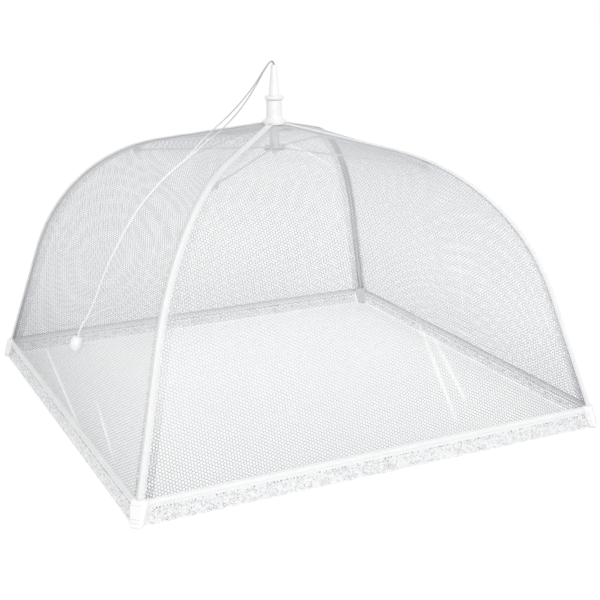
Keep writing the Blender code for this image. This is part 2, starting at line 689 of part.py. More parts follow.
def ridge_row(station, offset):
    """Row across a rib on the outside of the netting: one wing, the ridge and the other wing."""
    out, height = layer_point(station, offset)
    ridge = Vector((out * math.sqrt(2), 0, height))
    wing = SEAM_TAPE_WING / math.sqrt(2)
    return [ridge + Vector((-wing, -wing, 0)), ridge, ridge + Vector((-wing, wing, 0))]


def add_seam_tapes():
    stations = [top_stretch(SEAM_TAPE_START_RADIUS)] + bend_stations()
    stations += [low_stretch(BASE_TAPE_TOP + FIT_GAP)]
    grids = [[ridge_row(station, offset) for station in stations] for offset in (TAPE_INNER, TAPE_OUTER)]
    placed_copies("seam_tape", shell("seam_tape", *grids), CORNER_ANGLES, CROWN_PIVOT, binding())


def pocket_section(height, width, depth):
    """Rounded section of a pocket at one height, square to the rib's plane."""
    centre = low_stretch(height)[0]
    points = []
    for step in range(POCKET_SIDES):
        turn = math.tau * step / POCKET_SIDES
        across = abs(math.cos(turn)) ** POCKET_CORNER_SHARE
        through = abs(math.sin(turn)) ** POCKET_CORNER_SHARE
        points.append(Vector((
            centre + math.copysign(through, math.sin(turn)) * depth / 2,
            math.copysign(across, math.cos(turn)) * width / 2,
            height,
        )))
    return points


def add_pockets():
    bm = bmesh.new()
    rings = []
    for height, width, depth in zip(POCKET_HEIGHT_SHARES, POCKET_WIDTH_SHARES, POCKET_DEPTH_SHARES):
        section = pocket_section(height * POCKET_TOP, width * POCKET_WIDTH, depth * POCKET_DEPTH)
        rings.append([bm.verts.new(point) for point in section])
    for lower, upper in zip(rings, rings[1:]):
        for step in range(POCKET_SIDES):
            following = (step + 1) % POCKET_SIDES
            bm.faces.new((lower[step], lower[following], upper[following], upper[step]))
    bm.faces.new(rings[0])
    bm.faces.new(rings[-1])
    pocket = new_mesh("pocket", bm)
    tip = low_stretch(RIB_TIP_HEIGHT)
    down = Vector((math.cos(RIB_LAST_SLOPE), 0, -math.sin(RIB_LAST_SLOPE)))
    top = in_rib_plane(low_stretch(POCKET_TOP + CUT_OVERRUN))
    seat = wire("seat", [top, in_rib_plane(tip) + down * FIT_GAP], RIB_RADIUS + FIT_GAP, Vector((0, 1, 0)))
    pocket = cut_or_join(pocket, seat, "DIFFERENCE")
    placed_copies("corner_pocket", pocket, CORNER_ANGLES, CROWN_PIVOT, binding(), SEWN_EDGE)


# Pull cord, its knot under the runner and its bead
def smooth_route(route, count):
    """Points on a smooth curve through the route's own points, closer together toward the ends."""
    points = [Vector(point) for point in route]
    ends = [2 * points[0] - points[1]] + points + [2 * points[-1] - points[-2]]
    fine = []
    for index in range(1, len(ends) - 2):
        before, start, finish, after = ends[index - 1:index + 3]
        for step in range(count):
            t = step / count
            fine.append(0.5 * (2 * start + (finish - before) * t
                               + (2 * before - 5 * start + 4 * finish - after) * t ** 2
                               + (3 * start - before - 3 * finish + after) * t ** 3))
    fine.append(points[-1])
    travelled = [0.0]
    for first, second in zip(fine, fine[1:]):
        travelled.append(travelled[-1] + (second - first).length)
    spaced = []
    index = 0
    for step in range(count):
        share = step / (count - 1)
        target = travelled[-1] * (share - STRAND_GATHER_SHARE * math.sin(math.tau * share) / math.tau)
        while index < len(fine) - 2 and travelled[index + 1] < target:
            index += 1
        stretch = travelled[index + 1] - travelled[index]
        spaced.append(fine[index].lerp(fine[index + 1], (target - travelled[index]) / stretch))
    return spaced


def tube_curve(name, path, finish):
    """Cord as a curve with a round section and filled ends."""
    curve = bpy.data.curves.new(name, "CURVE")
    curve.dimensions = "3D"
    curve.bevel_depth = STRAND_DIAMETER / 2
    curve.bevel_resolution = STRAND_ROUNDING
    curve.use_fill_caps = True
    spline = curve.splines.new("POLY")
    spline.points.add(len(path) - 1)
    for point, place in zip(spline.points, path):
        point.co = (*place, 1)
    curve.materials.append(finish)
    piece = bpy.data.objects.new(name, curve)
    bpy.context.scene.collection.objects.link(piece)
    return piece


def hang_on(hinge, piece):
    """Makes a piece the child of an empty, where it stands."""
    bpy.context.view_layer.update()
    piece.parent = hinge
    piece.matrix_parent_inverse = hinge.matrix_world.inverted()


def add_cord_hinge():
    """Empty on the axis about which the free cord swings, at the nozzle's mouth."""
    hinge = bpy.data.objects.new("pull_cord_hinge", None)
    bpy.context.scene.collection.objects.link(hinge)
    hinge.location.z = NOZZLE_TIP_HEIGHT
    return hinge


def add_cord(hinge):
    for name, route in (("pull_cord_back", BACK_STRAND_ROUTE), ("pull_cord_front", FRONT_STRAND_ROUTE)):
        hang_on(hinge, tube_curve(name, smooth_route(route, STRAND_POINTS), cord_yarn()))
    for name, side in (("back", 1), ("front", -1)):
        across = side * STRAND_SPACING / 2
        strand = [Vector((0, across, NOZZLE_TIP_HEIGHT - FIT_GAP)), Vector((0, across, RUNNER_BOTTOM))]
        tube_curve(f"hub_cord_{name}", strand, cord_yarn())
    bm = bmesh.new()
    place = Matrix.Translation((0, 0, RUNNER_BOTTOM - FIT_GAP - KNOT_HEIGHT / 2))
    squash = Matrix.Diagonal((1, 1, KNOT_HEIGHT / (2 * KNOT_RADIUS), 1))
    bmesh.ops.create_uvsphere(bm, u_segments=KNOT_SIDES, v_segments=KNOT_RINGS, radius=KNOT_RADIUS,
                              matrix=place @ squash)
    add_object("cord_knot", new_mesh("cord_knot", bm), cord_yarn(), ROUND_EDGE)


def add_bead(hinge):
    """Barrel bead, threaded on the strands along their last stretch."""
    half = BEAD_LENGTH / 2
    outline = [(CORD_BORE_RADIUS, half), (CORD_BORE_RADIUS, -half)]
    for step in range(BEAD_STEPS + 1):
        across = 2 * step / BEAD_STEPS - 1
        swell = math.sqrt(1 - across ** 2)
        outline.append((BEAD_END_RADIUS + (BEAD_RADIUS - BEAD_END_RADIUS) * swell, half * across))
    bead = turned("bead", outline)
    end = (Vector(BACK_STRAND_ROUTE[-1]) + Vector(FRONT_STRAND_ROUTE[-1])) / 2
    before = (Vector(BACK_STRAND_ROUTE[-2]) + Vector(FRONT_STRAND_ROUTE[-2])) / 2
    along = (end - before).normalized()
    spread = Vector(FRONT_STRAND_ROUTE[-1]) - Vector(BACK_STRAND_ROUTE[-1])
    piece = add_object("bead", bead, bead_plastic(), ROUND_EDGE)
    across = spread.cross(along).normalized()
    turn = Matrix((across, along.cross(across), along)).transposed().to_4x4()
    piece.matrix_world = Matrix.Translation(end + along * (half - BEAD_GRIP)) @ turn
    hang_on(hinge, piece)


add_crown()
add_cap()
add_runner()
add_crown_ring()
add_runner_ring()
add_ribs()
add_struts()
add_clips()
add_rivets()
add_net_panels()
add_seam_tapes()
add_hems()
add_pockets()
cord_hinge = add_cord_hinge()
add_cord(cord_hinge)
add_bead(cord_hinge)
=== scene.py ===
# Square food cover that folds like an umbrella: wire ribs under netting, a plastic crown and a pull cord.
# Metres, +Z up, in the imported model's own frame.
import math

import bpy
import numpy as np
from mathutils import Matrix, Vector


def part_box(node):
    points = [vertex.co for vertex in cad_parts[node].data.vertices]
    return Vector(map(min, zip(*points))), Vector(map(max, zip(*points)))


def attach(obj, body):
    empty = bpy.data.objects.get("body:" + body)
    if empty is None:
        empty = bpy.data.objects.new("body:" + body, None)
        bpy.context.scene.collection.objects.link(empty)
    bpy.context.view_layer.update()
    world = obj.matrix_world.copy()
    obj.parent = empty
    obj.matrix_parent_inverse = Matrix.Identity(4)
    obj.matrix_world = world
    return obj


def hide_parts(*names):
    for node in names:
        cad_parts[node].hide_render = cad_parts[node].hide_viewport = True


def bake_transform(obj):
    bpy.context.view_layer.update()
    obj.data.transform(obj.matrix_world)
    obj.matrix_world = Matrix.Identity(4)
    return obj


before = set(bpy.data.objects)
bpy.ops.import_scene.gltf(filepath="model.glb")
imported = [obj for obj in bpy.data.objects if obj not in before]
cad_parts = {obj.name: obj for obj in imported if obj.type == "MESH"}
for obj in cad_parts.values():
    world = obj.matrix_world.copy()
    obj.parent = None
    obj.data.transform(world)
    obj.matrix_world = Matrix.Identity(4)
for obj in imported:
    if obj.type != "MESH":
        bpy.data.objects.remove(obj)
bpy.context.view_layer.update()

# Camera at the photograph's viewing angle. Its place, heading, tilt, roll and lens were solved from
# where its corners, base lines, ribs, bead and nozzle stand in the picture.
CAMERA_PLACE = (-0.4533, -0.9855, 0.4196)
CAMERA_HEADING = math.radians(25.9408)
CAMERA_TILT = math.radians(16.8078)
CAMERA_ROLL = math.radians(-0.2160)
CAMERA_LENS_MM = 69.20


def select_none():
    """Leaves nothing selected, because operators act on all that is."""
    bpy.ops.object.select_all(action="DESELECT")
    bpy.context.view_layer.objects.active = None


select_none()
bpy.ops.object.camera_add(location=CAMERA_PLACE)
camera = bpy.context.object
camera.name = "camera"
camera.data.lens = CAMERA_LENS_MM
camera.rotation_euler = (
    Matrix.Rotation(-CAMERA_HEADING, 3, "Z")
    @ Matrix.Rotation(math.pi / 2 - CAMERA_TILT, 3, "X")
    @ Matrix.Rotation(CAMERA_ROLL, 3, "Z")
).to_euler()
bpy.context.scene.camera = camera

# Pull cord: two strands of white nylon cord, each twisted from three plies. They leave the nozzle's mouth
# side by side, bend over its lip and lie down the left panel to the bead.
STRAND_DIAMETER = 0.0012
STRAND_PLIES = 3
STRAND_PLY_DEPTH = 0.00013
STRAND_LAY = 0.0042
STRAND_RING_STEP = 0.00045
STRAND_SIDES = 12
STRAND_SPACING = 0.0015
# Heights between which painted shade comes in on the cord toward the nozzle, and how dark it gets
CORD_SHADE_STARTS = 0.250
CORD_SHADE_FULL = 0.275
CORD_SHADE_MOST = 0.85
NOZZLE_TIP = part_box("cap")[1].z
BACK_STRAND_ROUTE = (
    (0.0000, 0.00075, 0.3196), (-0.0001, 0.00075, 0.3204), (-0.0008, 0.0008, 0.3217),
    (-0.0024, 0.0008, 0.3223), (-0.0042, 0.0008, 0.3216), (-0.0062, 0.0007, 0.3195),
    (-0.0110, 0.0006, 0.3136), (-0.0200, 0.0005, 0.3015), (-0.0330, -0.0004, 0.2880),
    (-0.0470, -0.0024, 0.2762), (-0.0620, -0.0058, 0.2660), (-0.0790, -0.0115, 0.2548),
    (-0.0900, -0.0180, 0.2475), (-0.1000, -0.0235, 0.2419), (-0.1106, -0.0282, 0.2365),
    (-0.1258, -0.0328, 0.2265), (-0.1375, -0.0346, 0.2165), (-0.1493, -0.0360, 0.2040),
    (-0.1585, -0.0366, 0.1920), (-0.1674, -0.0368, 0.1780), (-0.1758, -0.0356, 0.1620),
    (-0.1833, -0.0322, 0.1440), (-0.1893, -0.0268, 0.1250), (-0.1952, -0.0218, 0.1095),
    (-0.1997, -0.0183, 0.1010), (-0.2025, -0.0170, 0.0940), (-0.2043, -0.0168, 0.0874),
)
FRONT_STRAND_ROUTE = (
    (0.0000, -0.00075, 0.3196), (-0.0001, -0.0008, 0.3206), (-0.0008, -0.0010, 0.3222),
    (-0.0025, -0.0013, 0.3231), (-0.0045, -0.0017, 0.3224), (-0.0066, -0.0021, 0.3203),
    (-0.0120, -0.0033, 0.3138), (-0.0200, -0.0051, 0.3028), (-0.0310, -0.0077, 0.2896),
    (-0.0440, -0.0108, 0.2770), (-0.0590, -0.0145, 0.2659), (-0.0760, -0.0190, 0.2561),
    (-0.0880, -0.0228, 0.2490), (-0.0990, -0.0266, 0.2428), (-0.1106, -0.0300, 0.2365),
    (-0.1258, -0.0345, 0.2265), (-0.1375, -0.0363, 0.2165), (-0.1493, -0.0377, 0.2040),
    (-0.1585, -0.0383, 0.1920), (-0.1674, -0.0385, 0.1780), (-0.1758, -0.0373, 0.1620),
    (-0.1833, -0.0339, 0.1440), (-0.1893, -0.0285, 0.1250), (-0.1952, -0.0235, 0.1095),
    (-0.1997, -0.0199, 0.1010), (-0.2025, -0.0185, 0.0940), (-0.2043, -0.0183, 0.0874),
)


def hex_colour(text):
    """sRGB hex colour as linear RGBA."""
    channels = [int(text[i:i + 2], 16) / 255 for i in (1, 3, 5)]
    return (*[c / 12.92 if c <= 0.04045 else ((c + 0.055) / 1.055) ** 2.4 for c in channels], 1.0)


def add_node(tree, kind, inputs, **settings):
    """One node with its settings. An input that is given as a socket is linked, any other is set."""
    node = tree.nodes.new(kind)
    for name, value in settings.items():
        setattr(node, name, value)
    for name, value in inputs.items():
        if isinstance(value, bpy.types.NodeSocket):
            tree.links.new(value, node.inputs[name])
        else:
            node.inputs[name].default_value = value
    return node


def new_material(name, colour, roughness, **inputs):
    """Principled material with its tree and shader, for a pattern to be added to."""
    made = bpy.data.materials.new(name)
    made.use_nodes = True
    tree = made.node_tree
    shader = tree.nodes["Principled BSDF"]
    shader.inputs["Base Color"].default_value = hex_colour(colour)
    shader.inputs["Roughness"].default_value = roughness
    for socket, value in inputs.items():
        shader.inputs[socket.replace("_", " ")].default_value = value
    return made, tree, shader


def show_pattern(tree, shader, pattern, shades, relief=None, skin=None):
    """Colours a shader between two shades by a pattern. A relief's strength and depth raise the surface by
    the pattern, or by a finer one for the skin."""
    dark, light = shades
    colour = add_node(tree, "ShaderNodeMix", {"Factor": pattern, "A": hex_colour(dark),
                                              "B": hex_colour(light)}, data_type="RGBA")
    tree.links.new(colour.outputs["Result"], shader.inputs["Base Color"])
    if relief:
        bump = add_node(tree, "ShaderNodeBump", {"Strength": relief[0], "Distance": relief[1],
                                                 "Height": skin or pattern})
        tree.links.new(bump.outputs["Normal"], shader.inputs["Normal"])


def mottled(name, shades, roughness, patches, detail=2.0, distortion=0.0, contrast=None, shine=None,
            grain=None, relief=None, **inputs):
    """Material whose colour drifts between two shades in soft patches, so many to the metre. A contrast
    sharpens the patches, a shine makes the roughness follow them, and a grain is the skin's finer relief."""
    made, tree, shader = new_material(name, shades[1], roughness, **inputs)
    place = add_node(tree, "ShaderNodeTexCoord", {})
    noise = add_node(tree, "ShaderNodeTexNoise", {"Vector": place.outputs["Object"], "Scale": patches,
                                                  "Detail": detail, "Distortion": distortion})
    pattern = noise.outputs["Fac"]
    skin = None
    if contrast:
        pattern = add_node(tree, "ShaderNodeMapRange", {"Value": pattern, "From Min": contrast[0],
                                                        "From Max": contrast[1]}).outputs["Result"]
    if shine:
        dull = add_node(tree, "ShaderNodeMapRange", {"Value": pattern, "To Min": shine[0],
                                                     "To Max": shine[1]})
        tree.links.new(dull.outputs["Result"], shader.inputs["Roughness"])
    if grain:
        fine = add_node(tree, "ShaderNodeTexNoise", {"Vector": place.outputs["Object"], "Scale": grain})
        skin = fine.outputs["Fac"]
    show_pattern(tree, shader, pattern, shades, relief, skin)
    return made


def lay_over(material, amount, colour):
    """Lays one more colour over a material's own, by as much as a pattern says."""
    tree = material.node_tree
    base = tree.nodes["Principled BSDF"].inputs["Base Color"]
    mix = add_node(tree, "ShaderNodeMix", {"Factor": amount, "A": base.links[0].from_socket,
                                           "B": hex_colour(colour)}, data_type="RGBA")
    tree.links.new(mix.outputs["Result"], base)


def shade_by_height(material, unshaded_at, shaded_at, most, colour):
    """Paints shade on a material by height, from none at one height to the most at another."""
    tree = material.node_tree
    place = add_node(tree, "ShaderNodeTexCoord", {})
    height = add_node(tree, "ShaderNodeSeparateXYZ", {"Vector": place.outputs["Object"]})
    share = add_node(tree, "ShaderNodeMapRange", {"Value": height.outputs["Z"], "From Min": unshaded_at,
                                                  "From Max": shaded_at, "To Max": most})
    lay_over(material, share.outputs["Result"], colour)


def finish_with(piece, material):
    piece.data.materials.clear()
    piece.data.materials.append(material)


def new_piece(name, mesh):
    piece = bpy.data.objects.new(name, mesh)
    bpy.context.scene.collection.objects.link(piece)
    return piece


def smooth_route(route, step):
    """Points about a step apart on a smooth curve through the route's own points."""
    points = [Vector(point) for point in route]
    ends = [2 * points[0] - points[1]] + points + [2 * points[-1] - points[-2]]
    fine = []
    for index in range(1, len(ends) - 2):
        before, start, finish, after = ends[index - 1:index + 3]
        count = max(2, math.ceil((finish - start).length / step))
        for part in range(count):
            t = part / count
            fine.append(0.5 * (2 * start + (finish - before) * t
                               + (2 * before - 5 * start + 4 * finish - after) * t ** 2
                               + (3 * start - before - 3 * finish + after) * t ** 3))
    return fine + [points[-1]]


def lofted(name, rings):
    """Closed piece from rings of points with the same count, each joined to the next."""
    count = len(rings[0])
    points = [tuple(point) for ring in rings for point in ring]
    faces = []
    for ring in range(len(rings) - 1):
        for side in range(count):
            following = (side + 1) % count
            faces.append((ring * count + side, ring * count + following,
                          (ring + 1) * count + following, (ring + 1) * count + side))
    faces.append(tuple(reversed(range(count))))
    faces.append(tuple(range(len(points) - count, len(points))))
    mesh = bpy.data.meshes.new(name)
    mesh.from_pydata(points, [], faces)
    mesh.shade_smooth()
    return new_piece(name, mesh)


def twisted_strand(name, path):
    """Cord of plies twisted round each other: a lobed section that turns as it goes."""
    rings = []
    side = Vector((0, 1, 0))
    travelled = 0.0
    for index, point in enumerate(path):
        ahead = path[min(index + 1, len(path) - 1)] - path[max(index - 1, 0)]
        ahead.normalize()
        side = (side - ahead * side.dot(ahead)).normalized()
        up = ahead.cross(side)
        if index:
            travelled += (point - path[index - 1]).length
        ring = []
        for step in range(STRAND_SIDES):
            angle = math.tau * step / STRAND_SIDES
            lobe = math.cos(STRAND_PLIES * (angle - math.tau * travelled / STRAND_LAY / STRAND_PLIES))
            radius = STRAND_DIAMETER / 2 - STRAND_PLY_DEPTH * (1 - lobe) / 2
            ring.append(point + radius * (math.cos(angle) * side + math.sin(angle) * up))
        rings.append(ring)
    return lofted(name, rings)


# Twisted nylon: soft white fibres with a touch of sheen, drawn 0.4 mm wide because real ones are too fine
# to show. The cord is painted grey above the dome toward the nozzle, as painted shade for its shaded side.
cord_finish = mottled("twisted_nylon_cord", ("#EDEEF0", "#FDFDFD"), 0.62, 2600.0, 3.0, relief=(0.4, 0.0001),
                      Sheen_Weight=0.15)
shade_by_height(cord_finish, CORD_SHADE_STARTS, CORD_SHADE_FULL, CORD_SHADE_MOST, "#A2A5AA")
strand_paths = {}
for which, route in (("back", BACK_STRAND_ROUTE), ("front", FRONT_STRAND_ROUTE)):
    strand_paths[which] = smooth_route(route, STRAND_RING_STEP)
    strand = twisted_strand(f"pull_strand_{which}", strand_paths[which])
    finish_with(strand, cord_finish)
    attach(strand, "pull_cord")
    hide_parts(f"pull_cord_{which}")

# Bead at the cord's end: a barrel of frosted white plastic, moulded with a bore that both strands pass into
# and a faint parting line round its middle.
BEAD_RADIUS = 0.0056
BEAD_END_RADIUS = 0.0028
BEAD_LENGTH = 0.0130
BEAD_BORE_RADIUS = 0.0017
BEAD_GRIP = 0.0030
BEAD_FULLNESS = 0.8
BEAD_STATIONS = 22
BEAD_LINE_HEIGHT = 0.00006
MERGE_DISTANCE = 0.00001
TURNED_SIDES = 96
SMOOTH_BELOW = math.radians(40)
SHARP_ABOVE = math.radians(35)


def edit_all():
    bpy.ops.object.mode_set(mode="EDIT")
    bpy.ops.mesh.select_all(action="SELECT")


def object_mode():
    bpy.ops.object.mode_set(mode="OBJECT")
    return bpy.context.object


def make_active(piece):
    select_none()
    piece.select_set(True)
    bpy.context.view_layer.objects.active = piece


def seal():
    """Merges the meeting points of the piece that is being edited, faces it outward and ends the editing."""
    bpy.ops.mesh.select_all(action="SELECT")
    bpy.ops.mesh.remove_doubles(threshold=MERGE_DISTANCE)
    bpy.ops.mesh.normals_make_consistent(inside=False)
    return object_mode()


def put_in_mesh(piece):
    """Leaves the object at the origin, unturned and unscaled, with its place in its mesh."""
    make_active(piece)
    bpy.ops.object.transform_apply(location=True, rotation=True, scale=True)


def modify(piece, kind, **settings):
    """Gives a piece one modifier and applies it."""
    make_active(piece)
    modifier = piece.modifiers.new(kind, kind)
    for name, value in settings.items():
        setattr(modifier, name, value)
    bpy.ops.object.modifier_apply(modifier=modifier.name)


def soften(piece, width, segments=3):
    """Rounds a piece's sharp edges by a width."""
    modify(piece, "BEVEL", width=width, segments=segments, limit_method="ANGLE", angle_limit=SHARP_ABOVE)


def turned(name, outline, round_edge=0.0):
    """Piece turned about +Z: a ring at the outline's first point, drawn on from point to point until the
    outline closes."""
    select_none()
    radius, height = outline[0]
    bpy.ops.mesh.primitive_circle_add(vertices=TURNED_SIDES, radius=radius, location=(0, 0, height))
    bpy.context.object.name = name
    edit_all()
    for (radius, height), (next_radius, next_height) in zip(outline, outline[1:] + outline[:1]):
        bpy.ops.mesh.extrude_region_move(TRANSFORM_OT_translate={"value": (0, 0, next_height - height)})
        scale = next_radius / radius
        bpy.ops.transform.resize(value=(scale, scale, 1), center_override=(0, 0, next_height))
    piece = seal()
    put_in_mesh(piece)
    if round_edge:
        soften(piece, round_edge)
    bpy.ops.object.shade_smooth_by_angle(angle=SMOOTH_BELOW)
    return piece


def bead_outline():
    """Barrel from its lower end to its upper one, with the parting line as a fine ridge, then the bore."""
    half = BEAD_LENGTH / 2
    points = []
    for step in range(BEAD_STATIONS + 1):
        across = -math.cos(math.pi * step / BEAD_STATIONS)
        swell = (1 - across ** 2) ** BEAD_FULLNESS
        ridge = BEAD_LINE_HEIGHT if step == BEAD_STATIONS // 2 else 0
        points.append((BEAD_END_RADIUS + (BEAD_RADIUS - BEAD_END_RADIUS) * swell + ridge, half * across))
    return points + [(BEAD_BORE_RADIUS, half), (BEAD_BORE_RADIUS, -half)]


# Frosted polystyrene: cool white in clouds 4 mm across where a little light passes into it, and a matt skin
# whose grain is drawn 0.2 mm wide, about as fine as can show.
frosted_plastic = mottled("frosted_polystyrene", ("#EEF0F2", "#FAFBFB"), 0.34, 260.0, grain=5200.0,
                          relief=(0.12, 0.0001), IOR=1.59, Subsurface_Weight=0.12, Subsurface_Scale=0.002,
                          Subsurface_Radius=(1, 1, 1), Coat_Weight=0.15, Coat_Roughness=0.2)
bead = turned("pull_bead", bead_outline())
strand_end = (Vector(BACK_STRAND_ROUTE[-1]) + Vector(FRONT_STRAND_ROUTE[-1])) / 2
strand_before = (Vector(BACK_STRAND_ROUTE[-2]) + Vector(FRONT_STRAND_ROUTE[-2])) / 2
strand_along = (strand_end - strand_before).normalized()
bead.matrix_world = (Matrix.Translation(strand_end + strand_along * (BEAD_LENGTH / 2 - BEAD_GRIP))
                     @ strand_along.to_track_quat("Z", "Y").to_matrix().to_4x4())
put_in_mesh(bead)
finish_with(bead, frosted_plastic)
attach(bead, "pull_cord")
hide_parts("bead")
for which, side in (("back", 1), ("front", -1)):
    path = strand_paths[which]
    length = sum((second - first).length for first, second in zip(path, path[1:]))

# Crown: the hub that carries the ribs, injection moulded in white polypropylene. A collar stands on a flared
# lip, under which a groove holds the ribs' wire ring, and a slot lets each rib swing.
CROWN_LOWER_LIP_RADIUS = 0.0104
CROWN_UPPER_LIP_RADIUS = 0.0108
CROWN_GROOVE_RADIUS = 0.0085
CROWN_BORE_RADIUS = 0.0017
COLLAR_RADIUS = 0.0075
COLLAR_TOP_RADIUS = 0.0073
PIVOT_HEIGHT = 0.264
PIVOT_RADIUS = 0.0095
GROOVE_HALF_HEIGHT = 0.0010
UPPER_LIP_HEIGHT = 0.0038
FLARE_HEIGHT = 0.0052
FLARE_STATIONS = 7
SLOT_WIDTH = 0.0027
SLOT_INNER_RADIUS = 0.0075
SLOT_TOP = 0.2659
# A slot's cut runs past the rim and below the foot by these shares
CUT_PAST_RIM = 1.2
CUT_BELOW_FOOT = 0.98
MOULDED_EDGE = 0.00035
CORNER_ANGLES = {
    "front_left": math.radians(225),
    "front_right": math.radians(315),
    "back_right": math.radians(45),
    "back_left": math.radians(135),
}


def add_shape(add, scale=(1, 1, 1), **settings):
    """A basic shape by its operator, with its place, turn and scale in its mesh."""
    select_none()
    add(**settings)
    shape = bpy.context.object
    shape.scale = scale
    put_in_mesh(shape)
    return shape


def cut_slots(piece, inner, outer, low, high):
    """Cuts a slot toward each corner."""
    for angle in CORNER_ANGLES.values():
        cutter = add_shape(bpy.ops.mesh.primitive_cube_add, (outer - inner, SLOT_WIDTH, high - low), size=1,
                           location=((inner + outer) / 2, 0, (low + high) / 2))
        cutter.data.transform(Matrix.Rotation(angle, 4, "Z"))
        modify(piece, "BOOLEAN", operation="DIFFERENCE", object=cutter)
        bpy.data.objects.remove(cutter)


def crown_outline():
    bottom, top = (corner.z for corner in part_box("crown"))
    flare_foot = PIVOT_HEIGHT + GROOVE_HALF_HEIGHT + UPPER_LIP_HEIGHT
    reach = CROWN_UPPER_LIP_RADIUS - COLLAR_RADIUS - MOULDED_EDGE
    flare = []
    for step in range(FLARE_STATIONS + 1):
        turn = math.pi / 2 * step / FLARE_STATIONS
        flare.append((COLLAR_RADIUS + reach * (1 - math.sin(turn)),
                      flare_foot + FLARE_HEIGHT * (1 - math.cos(turn))))
    return [
        (CROWN_BORE_RADIUS, bottom),
        (CROWN_LOWER_LIP_RADIUS, bottom),
        (CROWN_LOWER_LIP_RADIUS, PIVOT_HEIGHT - GROOVE_HALF_HEIGHT),
        (CROWN_GROOVE_RADIUS, PIVOT_HEIGHT - GROOVE_HALF_HEIGHT),
        (CROWN_GROOVE_RADIUS, PIVOT_HEIGHT + GROOVE_HALF_HEIGHT),
        (CROWN_UPPER_LIP_RADIUS, PIVOT_HEIGHT + GROOVE_HALF_HEIGHT),
        (CROWN_UPPER_LIP_RADIUS, flare_foot),
        *flare,
        (COLLAR_TOP_RADIUS, top),
        (CROWN_BORE_RADIUS, top),
    ]


# Polypropylene: a warm milky white, cloudy in patches 6 mm across that shine unevenly, with the mould's
# fine texture drawn 0.3 mm wide so that it shows.
polypropylene = mottled("moulded_polypropylene", ("#E8E8E6", "#F5F5F4"), 0.36, 180.0, 3.0, shine=(0.28, 0.46),
                        grain=3400.0, relief=(0.15, 0.0001), IOR=1.49, Subsurface_Weight=0.08,
                        Subsurface_Scale=0.002, Subsurface_Radius=(1, 1, 1))
crown = turned("crown_moulding", crown_outline(), MOULDED_EDGE)
cut_slots(crown, SLOT_INNER_RADIUS, CROWN_UPPER_LIP_RADIUS * CUT_PAST_RIM,
          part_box("crown")[0].z * CUT_BELOW_FOOT, SLOT_TOP)
finish_with(crown, polypropylene)
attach(crown, "crown")
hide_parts("crown")

# Cap: a second white polypropylene moulding, pressed into the crown's collar. Its flange overhangs the collar
# and its tapered nozzle guides the cord out of the top.
CAP_GAP = 0.0002
CAP_FLANGE_RADIUS = 0.0090
CAP_FLANGE_FOOT_RADIUS = 0.0079
CAP_FLANGE_EDGE = 0.0030
CAP_FLANGE_SLOPE = 0.0014
NOZZLE_BASE_RADIUS = 0.0047
NOZZLE_TIP_RADIUS = 0.0027
NOZZLE_BORE_RADIUS = 0.0016
# Steps on the nozzle, as shares of its rise, with its radius there
NOZZLE_RINGS = ((0.30, 0.00440), (0.34, 0.00410), (0.62, 0.00355), (0.66, 0.00325))


def cap_outline():
    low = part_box("crown")[1].z + CAP_GAP
    flange_top = low + CAP_FLANGE_EDGE
    foot = flange_top + CAP_FLANGE_SLOPE
    rise = NOZZLE_TIP - foot
    return [
        (NOZZLE_BORE_RADIUS, low),
        (CAP_FLANGE_FOOT_RADIUS, low),
        (CAP_FLANGE_RADIUS, low + CAP_FLANGE_EDGE / 2),
        (CAP_FLANGE_RADIUS, flange_top),
        (NOZZLE_BASE_RADIUS, foot),
        *[(radius, foot + rise * share) for share, radius in NOZZLE_RINGS],
        (NOZZLE_TIP_RADIUS, NOZZLE_TIP),
        (NOZZLE_BORE_RADIUS, NOZZLE_TIP),
    ]


cap = turned("cap_moulding", cap_outline(), MOULDED_EDGE)
finish_with(cap, polypropylene)
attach(cap, "crown")
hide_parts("cap")

# Runner: the disc and neck under the crown, moulded in the same white polypropylene. The struts' wire ring
# lies in its groove, and it slides down when the cover folds.
RUNNER_RADIUS = 0.0100
RUNNER_NECK_RADIUS = 0.0046
RUNNER_GROOVE_RADIUS = 0.0078
RUNNER_PIVOT_HEIGHT = 0.2422
RUNNER_HALF_HEIGHT = 0.0018
RUNNER_SLOT_INNER_RADIUS = 0.0036
RUNNER_EDGE = 0.00025


def runner_outline():
    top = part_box("runner")[1].z
    low = RUNNER_PIVOT_HEIGHT - RUNNER_HALF_HEIGHT
    high = RUNNER_PIVOT_HEIGHT + RUNNER_HALF_HEIGHT
    return [
        (CROWN_BORE_RADIUS, low),
        (RUNNER_RADIUS, low),
        (RUNNER_RADIUS, RUNNER_PIVOT_HEIGHT - GROOVE_HALF_HEIGHT),
        (RUNNER_GROOVE_RADIUS, RUNNER_PIVOT_HEIGHT - GROOVE_HALF_HEIGHT),
        (RUNNER_GROOVE_RADIUS, RUNNER_PIVOT_HEIGHT + GROOVE_HALF_HEIGHT),
        (RUNNER_RADIUS, RUNNER_PIVOT_HEIGHT + GROOVE_HALF_HEIGHT),
        (RUNNER_RADIUS, high),
        (RUNNER_NECK_RADIUS, high),
        (RUNNER_NECK_RADIUS, top),
        (CROWN_BORE_RADIUS, top),
    ]


runner = turned("runner_moulding", runner_outline(), RUNNER_EDGE)
cut_slots(runner, RUNNER_SLOT_INNER_RADIUS, RUNNER_RADIUS * CUT_PAST_RIM,
          RUNNER_PIVOT_HEIGHT - 2 * RUNNER_HALF_HEIGHT,
          RUNNER_PIVOT_HEIGHT + RUNNER_HALF_HEIGHT + GROOVE_HALF_HEIGHT / 2)
finish_with(runner, polypropylene)
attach(runner, "runner")
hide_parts("runner")
